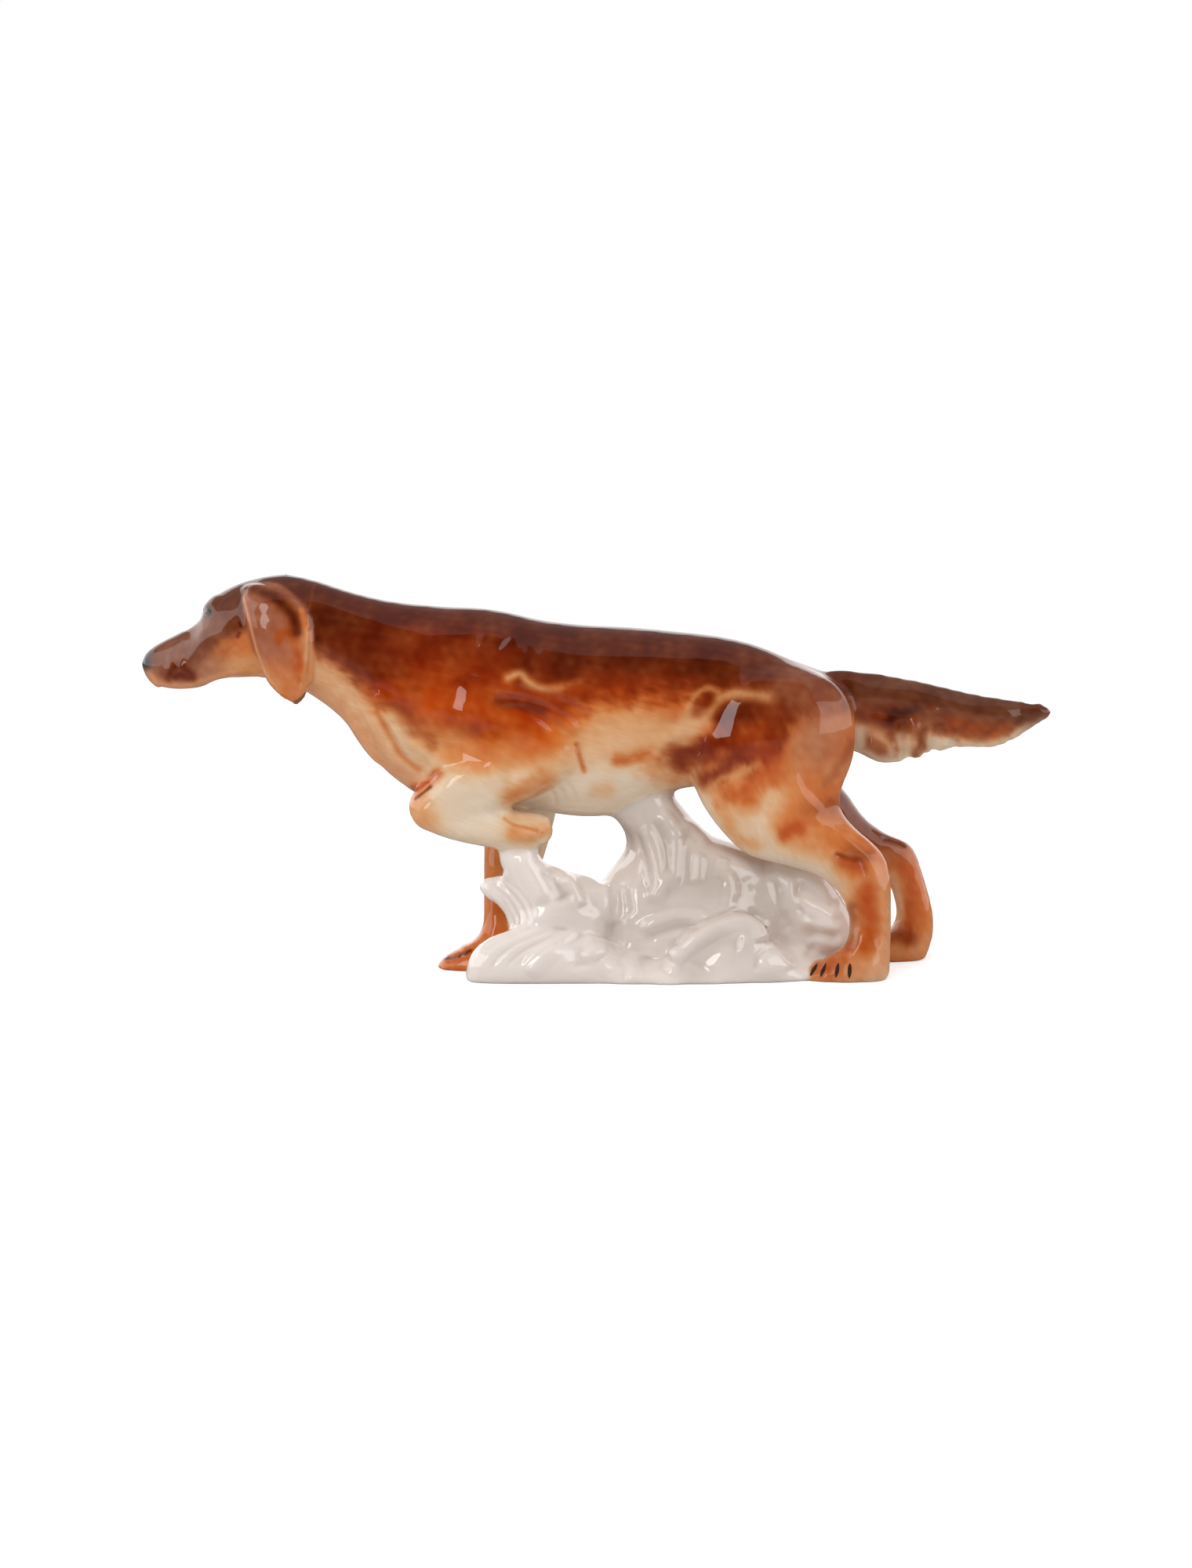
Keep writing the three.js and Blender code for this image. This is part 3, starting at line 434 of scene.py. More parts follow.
    ("lower lip of the leaf", [(1016, 1162), (1036, 1175), (1078, 1186)], 3.6, 0.9, 0.2),
    (NEAR, "rear_leaf rock_base"),
    ("groove under the lip", [(1018, 1178), (1038, 1190), (1074, 1197)], 3.6, -0.9, 0.25),
    (NEAR, "rock_base"),
    ("first comb line of the lobe", [(606, 1238), (622, 1214), (650, 1196), (690, 1180)], 1.4, -0.35, 0.2),
    ("second comb line of the lobe", [(622, 1240), (640, 1216), (668, 1199), (704, 1184)], 1.4, -0.35, 0.2),
    ("third comb line of the lobe", [(640, 1241), (656, 1220), (682, 1203), (714, 1188)], 1.4, -0.35, 0.2),
    ("fourth comb line of the lobe", [(664, 1243), (680, 1224), (700, 1209), (722, 1196)], 1.4, -0.35, 0.2),
])

# Sprayed colours in their order: name, colour, line in photograph pixels, width, softness, strength and
# raggedness. Without a width all that lies above the line is sprayed.
PAINT = grouped(Spray, [
    "Trunk, from the belly up to the back",
    (BOTH, "body left_foreleg right_foreleg left_hind_leg right_hind_leg"),
    ("tan of the flank", "tan", [(380, 930), (450, 985), (500, 1008), (528, 1018), (556, 984), (620, 980),
     (690, 984), (740, 985), (800, 985), (850, 990), (900, 1000), (930, 1040), (960, 1052), (1000, 1080),
     (1050, 1115), (1100, 1190), (1200, 1230)], None, 15, 0.9, 1.4),
    ("orange of the flank", "orange", [(380, 842), (403, 848), (430, 862), (453, 880), (480, 902), (506, 928),
     (525, 950), (550, 968), (600, 978), (640, 970), (690, 956), (735, 930), (765, 908), (840, 905),
     (880, 930), (900, 985), (930, 1012), (960, 1020), (1000, 1010), (1050, 1040), (1100, 1100),
     (1150, 1110)], None, 12, 0.9, 1.2),
    ("rust of the flank", "rust", [(380, 834), (403, 836), (430, 850), (453, 872), (477, 886), (503, 912),
     (517, 935), (540, 945), (580, 948), (620, 946), (670, 940), (710, 916), (750, 896), (800, 888),
     (850, 892), (890, 894), (915, 930), (930, 965), (960, 985), (985, 975), (1000, 950), (1020, 915),
     (1060, 900), (1090, 890)], None, 12, 0.95, 1.3),
    (BOTH, "body right_foreleg left_hind_leg right_hind_leg"),
    ("chocolate along the back", "chocolate", [(380, 812), (430, 806), (500, 800), (560, 802), (600, 804),
     (650, 816), (700, 836), (750, 850), (800, 857), (850, 862), (900, 866), (950, 870), (985, 884),
     (1005, 898), (1050, 900), (1095, 895)], None, 13, 0.92, 1.2),
    (BOTH, "left_hind_leg right_hind_leg body"),
    ("chestnut of the rump", "chestnut", [(1005, 870), (1040, 880), (1070, 895)], 6, 10, 0.75, 1.0),
    (BOTH, "body"),
    ("copper over the loin", "copper", [(715, 905), (780, 902), (845, 905)], 3, 9, 0.3, 1.0),
    (BOTH, "body left_foreleg"),
    ("sand under the shoulder", "sand", [(570, 945), (630, 948)], 4, 8, 0.35, 0.6),
    ("bone along the belly", "bone", [(660, 996), (740, 998), (810, 996)], 4, 8, 0.35, 0.4),
    (BOTH, "body"),
    ("umber of the neck", "umber", [(410, 815), (440, 825), (465, 835)], 7, 10, 0.25, 0.4),
    "Neck and chest",
    (BOTH, "body"),
    ("cream behind the ear", "tan", [(396, 850), (412, 862), (435, 880)], 3, 7, 0.9, 0.6),
    ("clay along the throat", "clay", [(395, 884), (430, 905), (462, 945), (490, 980), (520, 1002)], 3, 8,
     0.85, 0.6),
    (BOTH, "body left_foreleg"),
    ("cream on the ridge of the chest", "cream", [(500, 916), (520, 946), (545, 965), (578, 977)], 2.4, 5.5,
     0.8, 0.3),
    ("tan on the shoulder point", "sand", [(548, 920), (568, 936), (592, 950)], 3, 11, 0.7, 0.6),
    (BOTH, "body"),
    ("shadow in the throat fold", "copper", [(480, 908), (497, 938), (512, 964), (534, 981)], 0.2, 2.4, 0.35,
     0),
    (NEAR, "body left_foreleg"),
    ("rust in the wrist crease", "copper", [(530, 1007), (545, 1000), (558, 988)], 1.0, 2.4, 0.95, 0.2),
    ("line in the wrist crease", "umber", [(530, 1019), (540, 1011), (550, 1003)], 0.1, 0.9, 0.9, 0),
    ("light line over it", "cream", [(534, 1011), (545, 1002), (557, 990)], 0.1, 0.8, 0.7, 0),
    (NEAR, "left_foreleg"),
    ("rust on the wrist", "orange", [(532, 1022), (534, 1038), (545, 1050)], 2.5, 10, 0.5, 0.4),
    (BOTH, "body left_foreleg"),
    ("ember over the chest", "ember", [(488, 880), (515, 886), (540, 898)], 2, 8, 0.6, 0.8),
    ("orange over the forearm", "orange", [(585, 962), (620, 958), (660, 955)], 3, 10, 0.6, 0.6),
    (BOTH, "body"),
    ("ember over the shoulder", "ember", [(540, 862), (590, 855), (625, 866)], 3, 11, 0.25, 1.2),
    (BOTH, "body left_foreleg"),
    ("ember on the arm", "ember", [(556, 895), (600, 901), (650, 912), (688, 926)], 6, 13, 0.8, 0.8),
    "Shoulder and flank",
    (BOTH, "body left_foreleg"),
    ("pale streak over the shoulder", "sand", [(648, 865), (663, 859), (674, 870), (692, 879), (712, 878),
     (738, 869)], 0.6, 3.4, 0.95, 0.2),
    ("copper round the streak", "copper", [(640, 880), (690, 890), (745, 878)], 1.5, 5, 0.5, 1.0),
    (BOTH, "body"),
    ("dark patch over the streak", "umber", [(712, 850), (735, 856)], 2, 8, 0.4, 0.6),
    ("dark patch beside it", "umber", [(662, 815), (674, 826), (672, 845)], 1.5, 7, 0.3, 0.6),
    (NEAR, "body left_foreleg"),
    ("umber on the arm's shelf", "umber", [(635, 895), (662, 897), (690, 904)], 0.5, 5, 0.3, 0.3),
    ("orange line of the elbow", "copper", [(734, 950), (740, 968), (745, 984)], 0.2, 1.8, 0.6, 0),
    (NEAR, "left_foreleg"),
    ("smear on the forearm", "copper", [(652, 1013), (670, 1007), (695, 997)], 0.8, 8, 0.4, 0.5),
    ("cream on the forearm", "bone", [(575, 1045), (610, 1040)], 3, 8, 0.5, 0.6),
    (BOTH, "body"),
    ("copper of the flank", "copper", [(745, 878), (800, 880), (850, 878)], 3, 11, 0.3, 1.2),
    ("sand under the ribs", "sand", [(765, 925), (800, 920), (840, 935)], 3, 9, 0.6, 1.2),
    ("cream of the belly", "bone", [(705, 1000), (760, 995), (830, 988), (880, 995)], 2, 9, 0.75, 0.6),
    ("brown stroke on the belly", "copper", [(788, 970), (805, 969), (828, 959)], 0.5, 4.4, 0.5, 0.4),
    ("orange haze of the flank", "orange", [(830, 975), (860, 990), (890, 990)], 2, 8, 0.55, 1.0),
    ("spot on the belly", "orange", [(760, 1009), (776, 1006)], 0.6, 6, 0.25, 0.3),
    (NEAR, "left_foreleg"),
    ("line on the folded paw", "copper", [(643, 1044), (654, 1052), (671, 1056), (690, 1061)], 0.1, 1.4, 0.4,
     0),
    "Haunch",
    (BOTH, "body left_hind_leg right_hind_leg"),
    ("pale sweep on the flank", "sand", [(978, 889), (945, 886), (920, 891), (903, 909), (882, 924),
     (855, 940)], 1.2, 4.5, 0.95, 0.3),
    ("pale end of the sweep", "tan", [(885, 932), (860, 942), (850, 950)], 2.0, 5, 0.8, 0.6),
    ("light ring", "sand", [(880, 918), (879, 902), (888, 886), (902, 878), (916, 882)], 0.4, 2.6, 0.7, 0.2),
    ("rust inside the ring", "rust", [(888, 908), (904, 894)], 1.0, 4, 0.5, 0.3),
    ("dark patch of the haunch", "umber", [(932, 914), (955, 908)], 2.5, 8, 0.5, 0.6),
    ("dark stroke of the flank", "rust", [(868, 964), (892, 955), (922, 945)], 1.6, 6, 0.9, 0.4),
    ("its rust edge", "rust", [(862, 970), (880, 970), (905, 962)], 1.2, 8, 0.6, 0.7),
    (BOTH, "left_hind_leg right_hind_leg body"),
    ("second stroke", "rust", [(903, 995), (922, 981), (945, 962)], 1.4, 6, 0.9, 0.5),
    (BOTH, "body left_hind_leg right_hind_leg"),
    ("copper of the haunch", "copper", [(955, 935), (975, 955), (985, 975)], 5, 9, 0.6, 1.4),
    (BOTH, "left_hind_leg right_hind_leg"),
    ("sand between the strokes", "sand", [(905, 1008), (940, 988), (965, 978)], 0.8, 4.5, 0.7, 0.8),
    ("smear on the thigh", "copper", [(925, 1014), (945, 1012)], 1.2, 6, 0.6, 1.0),
    ("stronger smear", "copper", [(985, 990), (972, 1008), (962, 1020)], 2.0, 8, 0.55, 0.7),
    ("orange behind the thigh", "orange", [(1060, 935), (1060, 975), (1040, 1020), (1000, 1020)], 7, 10, 0.85,
     1.0),
    ("sand patch", "sand", [(1038, 938), (1040, 962)], 1.2, 6, 0.6, 0.3),
    ("sand patch in front", "sand", [(1016, 948), (1018, 975)], 1.0, 5, 0.6, 0.5),
    ("first hair behind the thigh", "chestnut", [(1086, 950), (1070, 978), (1052, 1000)], 0.3, 4, 0.3, 0.2),
    ("brown smear over the hock", "chestnut", [(1032, 1036), (1062, 1032)], 1.5, 6, 0.55, 0.8),
    ("brown veil above the hock", "chestnut", [(1062, 1046), (1084, 1060), (1100, 1080)], 4, 9, 0.4, 0.8),
    ("bone on the thigh", "bone", [(985, 1020), (972, 1055), (985, 1070)], 2.5, 8, 0.75, 0.8),
    ("tan along the thigh's front", "orange", [(915, 1020), (935, 1062), (965, 1082)], 0.8, 5, 0.5, 0.4),
    (BOTH, "body left_hind_leg right_hind_leg"),
    # Painted reflection: greyed brown over the rump for the tent mirrored in its glaze.
    ("grey-brown rump", "ash", [(1014, 880), (1034, 902), (1046, 930), (1048, 950)], 8, 12, 0.55, 0.4),
    "Near hind leg",
    (BOTH, "left_hind_leg"),
    ("orange on the shank", "orange", [(1020, 1050), (1060, 1062), (1100, 1085), (1125, 1110)], 7, 8, 0.85,
     0.8),
    (BOTH, "left_hind_leg right_hind_leg"),
    ("rust spot of the stifle", "copper", [(1002, 1062), (1010, 1057), (1020, 1058)], 1.0, 5, 0.65, 0.4),
    (NEAR, "left_hind_leg"),
    ("bone inside the hock", "bone", [(950, 1095), (1000, 1102), (1045, 1112), (1072, 1135)], 2.0, 6, 0.8,
     0.5),
    (BOTH, "left_hind_leg"),
    ("orange down the cannon", "amber", [(1112, 1125), (1112, 1170), (1108, 1215), (1060, 1238)], 7, 5, 0.85,
     0.5),
    (NEAR, "left_hind_leg"),
    ("orange flash at the hock", "copper", [(1075, 1103), (1098, 1107)], 1.0, 5, 0.75, 0.3),
    ("chestnut above the flash", "chestnut", [(1085, 1084), (1105, 1092)], 0.8, 4, 0.4, 0.4),
    ("line at the hock", "rust", [(1068, 1090), (1084, 1096), (1098, 1098)], 0.2, 2, 0.5, 0),
    ("copper strip down the cannon", "copper", [(1107, 1138), (1109, 1175), (1106, 1208)], 2.0, 4, 0.6, 0.2),
    # Painted reflection: the clay strip along the cannon's rear edge for the tent's side wall mirrored there.
    ("clay edge of the cannon", "clay", [(1119, 1110), (1128, 1150), (1128, 1200), (1118, 1240)], 2.2, 2.6,
     0.85, 0.2),
    ("brown inner edge of the cannon", "chestnut", [(1087, 1158), (1087, 1185), (1084, 1205)], 0.8, 4, 0.4,
     0.3),
    ("copper on the foot", "copper", [(1080, 1210), (1062, 1224), (1042, 1238)], 1.5, 5, 0.4, 0.3),
    ("clay of the foot", "clay", [(1092, 1236), (1116, 1226)], 3, 5, 0.55, 0.3),
    "Far legs",
    (SEEN, "right_hind_leg"),
    ("brown of the far shank", "chestnut", [(1085, 1010), (1110, 1050), (1145, 1075), (1165, 1092)], 6, 8,
     0.85, 0.6),
    ("amber of the far cannon", "orange", [(1168, 1110), (1180, 1160), (1165, 1215), (1120, 1230)], 9, 5, 0.9,
     0.5),
    ("rust of the far cannon", "copper", [(1150, 1105), (1162, 1130), (1158, 1175)], 2.0, 6, 0.5, 0.4),
    ("cream of its inner edge", "tan", [(1138, 1115), (1146, 1140), (1146, 1170)], 0.7, 3, 0.8, 0.3),
    ("tan of the far foot", "clay", [(1150, 1212), (1172, 1216)], 2.5, 6, 0.4, 0.4),
    ("dark patch of the far foot", "rust", [(1140, 1192), (1158, 1196)], 1.6, 5, 0.6, 0.4),
    ("line on the far shank", "umber", [(1122, 1069), (1140, 1074), (1154, 1080)], 0.1, 0.8, 0.6, 0),
    (SEEN, "right_foreleg"),
    ("far foreleg", "orange", [(630, 1090), (630, 1140), (635, 1190), (610, 1225), (570, 1235)], 9, 8, 0.9,
     0.5),
    ("copper of the far foreleg", "copper", [(640, 1150), (630, 1185), (605, 1210), (575, 1225)], 2.0, 6, 0.4,
     0.4),
    ("line on the far foot", "umber", [(566, 1222), (584, 1220), (600, 1212)], 0.1, 1.0, 0.7, 0.1),
    (SEEN, "left_foreleg"),
    ("orange on the raised paw", "orange", [(655, 1062), (675, 1066), (694, 1058)], 1.2, 5, 0.6, 0.3),
    ("tan over it", "sand", [(648, 1044), (680, 1046)], 1.0, 4, 0.6, 0.5),
    "Rockwork",
    (NEAR, "rear_leaf"),
    # Painted light: the leaf in the arch, which the hind leg shades, is painted near white.
    ("milk of the leaf", "milk", [(1012, 1132), (1040, 1148), (1080, 1166)], 14, 12, 1.0, 0),
    (NEAR, "belly_column rock_base"),
    ("shade of the column", "shade", [(812, 1048), (838, 1080), (850, 1120), (842, 1150)], 12, 16, 0.8, 0.8),
    (NEAR, "belly_column rock_base rear_leaf"),
    ("shade before the leaf", "shade", [(905, 1110), (945, 1140), (985, 1165)], 12, 14, 0.7, 0.8),
    (NEAR, "belly_column rock_base paw_tuft"),
    ("shade of the saddle", "shade", [(735, 1150), (770, 1165), (800, 1180)], 8, 12, 0.6, 0.8),
    (NEAR, "rock_base"),
    ("shade inside the roll", "shade", [(884, 1240), (902, 1216), (926, 1204), (950, 1208)], 3, 8, 0.7, 0.4),
    # Painted shade: the pooled tint darkens the rock beside the leaf and the column under the belly.
    (NEAR, "belly_column rear_leaf rock_base"),
    ("pooled beside the leaf", "pooled", [(905, 1125), (950, 1130), (990, 1140), (1003, 1165)], 5, 8, 0.35,
     0.4),
    (NEAR, "belly_column"),
    ("pooled on the column", "pooled", [(810, 1050), (850, 1062), (870, 1100)], 8, 12, 0.3, 0.4),
    "Tail",
    (BOTH, "tail"),
    ("tan of the tail", "clay", [(1085, 945), (1150, 958), (1200, 945), (1260, 948), (1345, 912)], None, 6,
     0.55, 0.3),
    ("chestnut of the tail", "chestnut", [(1085, 918), (1110, 924), (1132, 932), (1150, 936), (1165, 934),
     (1188, 933), (1205, 936), (1225, 939), (1250, 943), (1280, 938), (1310, 926), (1345, 912)], None, 7,
     0.85, 0.6),
    ("chocolate along its top", "chocolate", [(1060, 893), (1100, 890), (1150, 892), (1200, 900), (1240, 911),
     (1300, 917), (1345, 914)], None, 6, 0.9, 0.3),
    ("rust of the tail", "rust", [(1102, 902), (1130, 906), (1160, 910)], 3, 8, 0.6, 0.6),
    ("rust by the tip", "copper", [(1215, 922), (1250, 930), (1285, 928)], 1.2, 6, 0.5, 0.6),
    ("umber smudge", "umber", [(1136, 917), (1150, 910), (1168, 905)], 1.2, 3.5, 0.85, 0.3),
    ("smudge in the feathering", "chestnut", [(1108, 946), (1124, 958)], 1.6, 4, 0.75, 0.4),
    ("second smudge", "chestnut", [(1137, 938), (1144, 956)], 0.8, 3.6, 0.65, 0.4),
    ("third smudge", "chestnut", [(1173, 938), (1175, 952), (1167, 966)], 1.0, 3.6, 0.7, 0.4),
    ("light between the smudges", "cream", [(1147, 940), (1150, 962)], 0.6, 2.8, 0.8, 0.2),
    ("second light", "cream", [(1159, 940), (1157, 968)], 0.4, 2.4, 0.7, 0.2),
    ("third light", "cream", [(1190, 947), (1207, 949)], 1.2, 3.6, 0.85, 0.2),
    ("light beside the thigh", "cream", [(1096, 930), (1098, 950)], 0.8, 3.0, 0.75, 0.2),
    ("cream along its lower edge", "cream", [(1092, 956), (1112, 968), (1145, 975), (1158, 970), (1170, 972),
     (1185, 962), (1200, 957), (1230, 954), (1265, 955), (1290, 942), (1330, 920)], 0.8, 3.6, 0.85, 0.2),
    # Painted reflection: grey-brown and slate along the tail's top for the tent mirrored in its glaze.
    ("grey-brown top of the tail", "ash", [(1100, 878), (1150, 880), (1200, 888), (1260, 900), (1320, 910)],
     3, 8, 0.45, 0.2),
    ("slate veil on it", "slate", [(1100, 880), (1150, 882), (1200, 890), (1260, 902), (1320, 912)], 3, 8,
     0.2, 0.2),
    "Head",
    (BOTH, "head"),
    ("ground of the head", "orange", [(180, 860), (240, 850), (300, 800), (350, 780)], 40, 4, 0.95, 0),
    ("tan of the cheek", "sand", [(262, 862), (290, 850), (330, 845)], 1.5, 6, 0.6, 0.4),
    ("brown of the face", "chestnut", [(170, 858), (198, 866), (215, 874), (243, 869), (254, 852), (272, 828),
     (290, 813), (320, 804), (400, 806)], None, 5, 1.0, 0.5),
    ("chocolate of the skull", "chocolate", [(170, 820), (200, 822), (240, 800), (262, 788), (300, 778),
     (350, 768), (420, 778)], None, 9, 0.95, 0.6),
    ("copper of the cheek", "copper", [(272, 836), (295, 822), (325, 815)], 1.0, 6, 0.3, 0.8),
    # Painted reflection: the veils on muzzle and brow and the greyed muzzle stand for the tent mirrored in
    # the glaze.
    ("veil on the muzzle", "ash", [(200, 834), (222, 827), (244, 814)], 4, 7, 0.5, 0.3),
    ("veil on the brow", "ash", [(268, 780), (290, 765), (312, 756)], 4, 8, 0.3, 0.3),
    ("greyed muzzle", "ash", [(194, 852), (210, 862), (228, 867), (246, 861), (262, 850)], 4.5, 8, 0.65, 0.3),
    # Painted reflection: the dark patch on the flews stands for the tent's dark open front mirrored in them.
    ("patch of the flews", "mahogany", [(215, 867), (219, 855), (228, 849), (238, 855), (246, 865),
     (231, 861), (222, 864)], 1.3, 1.0, 0.95, 0),
    ("pale lip", "clay", [(190, 860), (207, 873), (240, 876), (262, 869), (300, 858)], 1.0, 3, 0.75, 0),
    ("tan of the chin", "clay", [(192, 870), (208, 880), (240, 884)], 1.5, 3, 0.7, 0.1),
    ("grey of the lower jaw", "bone", [(245, 882), (272, 878), (304, 868)], 0.6, 1.4, 0.8, 0),
    ("nose", "slate", [(183, 838), (186, 845)], 1.6, 2.0, 0.95, 0.1),
    ("top of the nose", "slate", [(185, 834), (193, 831)], 0.6, 2.0, 0.5, 0.1),
    ("eye", "slate", [(265, 777), (265, 784)], 0.7, 0.9, 0.95, 0),
    ("light of the eye", "bone", [(263, 777)] * 2, 0.1, 0.5, 0.45, 0),
    ("speck on the cheek", "umber", [(305, 794), (307, 799)], 0.15, 0.7, 0.95, 0),
    ("speck below it", "rust", [(305, 808), (303, 812)], 0.4, 1.0, 0.85, 0),
    # Painted reflection: a slate veil over the face for the tent mirrored in its glaze.
    ("slate veil of the face", "slate", [(215, 830), (262, 805), (300, 775), (340, 758)], 7, 9, 0.13, 0.2),
    "Ears",
    (BOTH, "left_ear right_ear"),
    ("ground of the ears", "orange", [(340, 740), (360, 820), (370, 900)], 14, 4, 1.0, 0.3),
    ("brown of the ears", "chestnut", [(300, 825), (335, 830), (365, 795), (400, 790)], None, 14, 0.75, 0.6),
    (NEAR, "left_ear"),
    # Painted reflection: the near ear's upper face is greyed for the tent mirrored in its glaze.
    ("grey-brown face of the ear", "ash", [(326, 772), (342, 786), (356, 806), (350, 826)], 9, 12, 0.75, 0.4),
    (BOTH, "left_ear right_ear"),
    ("copper curl on the ear", "copper", [(358, 815), (366, 806), (376, 815), (381, 840), (380, 865)], 0.6, 4,
     0.5, 0.8),
    ("copper smear on the ear", "copper", [(345, 852), (358, 862), (368, 872)], 0.6, 4, 0.4, 0.6),
    ("clay of the ear's lower part", "clay", [(350, 858), (364, 872), (372, 882)], 3, 7, 0.4, 0.3),
    (NEAR, "left_ear"),
    ("shadow behind the ear's fold", "chocolate", [(324, 751), (343, 758), (360, 770), (374, 786),
     (379, 806)], 1.0, 2.6, 0.9, 0.1),
    ("bright rear rim", "orange", [(384, 778), (388, 795), (390, 815)], 0.6, 1.5, 0.75, 0.1),
    (NEAR, "left_ear body"),
    ("pale rear rim", "sand", [(391, 800), (391, 830), (388, 858), (382, 880)], 0.2, 1.4, 0.5, 0.1),
    (NEAR, "left_ear"),
    # Painted highlight: the pale line along the ear's front rim for the light that the rounded rim catches.
    ("pale front rim", "clay", [(309, 757), (315, 780), (321, 805), (329, 834), (341, 862), (358, 884)], 0.2,
     0.8, 0.85, 0),
    (SEEN, "right_ear"),
    # Painted shade: the far ear's tip hangs under the neck behind the near ear.
    ("olive tip of the far ear", "olive", [(380, 885), (395, 892)], 5, 3, 0.85, 0.3),
])


def smoothstep(low, high, values):
    """0 up to low, 1 from high on, and a smooth passage between."""
    share = np.clip((values - low) / (high - low), 0.0, 1.0)
    return share * share * (3.0 - 2.0 * share)


def linear(red, green, blue):
    """A colour as the eye reads it, 0 to 255, turned into light."""
    parts = np.array([red, green, blue]) / 255.0
    return np.where(parts <= 0.04045, parts / 12.92, ((parts + 0.055) / 1.055) ** 2.4)


def curve_through(points, steps=6):
    """A smooth line through given points."""
    points = np.array(points, float)
    if len(points) < 3:
        return points
    ends = np.vstack([2 * points[0] - points[1], points, 2 * points[-1] - points[-2]])
    line = []
    for start in range(len(points) - 1):
        a, b, c, d = ends[start : start + 4]
        bend, twist = 2 * a - 5 * b + 4 * c - d, 3 * b - a - 3 * c + d
        line += [0.5 * (2 * b + (c - a) * t + bend * t**2 + twist * t**3) for t in np.arange(steps) / steps]
    line.append(points[-1])
    return np.array(line)


def as_seen(points):
    """Where points show in the photograph's view, in millimetres from its middle."""
    rise = points[:, 2] - VIEW_HEIGHT
    away = VIEW_DISTANCE + points[:, 1] * math.cos(VIEW_ELEVATION) - rise * math.sin(VIEW_ELEVATION)
    up = points[:, 1] * math.sin(VIEW_ELEVATION) + rise * math.cos(VIEW_ELEVATION)
    return np.stack([points[:, 0] - VIEW_SIDE, up], axis=1) * (VIEW_DISTANCE / away)[:, None]


def from_photo(pixels):
    """Photograph pixels in the same millimetres."""
    return [((x - PHOTO_MIDDLE[0]) * PHOTO_PIXEL, (PHOTO_MIDDLE[1] - y) * PHOTO_PIXEL) for x, y in pixels]


def hair_frame(points, name):
    """Places on a casting measured along its hair, across it and through the figure."""
    angle = math.radians(HAIR_LIES.get(name, 0))
    along = points[:, 0] * math.cos(angle) + points[:, 2] * math.sin(angle)
    across = points[:, 2] * math.cos(angle) - points[:, 0] * math.sin(angle)
    return np.stack([along, across, points[:, 1]], axis=1)


class Ripple:
    """Smooth random waves in space, the same on each run."""

    def __init__(self, seed, size, waves=24):
        dice = np.random.default_rng(seed)
        turn = dice.normal(size=(waves, 3))
        turn /= np.linalg.norm(turn, axis=1)[:, None]
        pace = 2 * math.pi / (size * dice.uniform(*WAVE_LENGTHS, waves))
        self.pace = turn * pace[:, None]
        self.start = dice.uniform(0, 2 * math.pi, waves)
        self.scale = math.sqrt(2.0 / waves)

    def at(self, points):
        return np.sin(points @ self.pace.T + self.start).sum(axis=1) * self.scale


def rippled(points, ripples):
    """Several ripples together, each given by its seed, its size and its strength."""
    return sum(strength * Ripple(seed, size).at(points) for seed, size, strength in ripples)

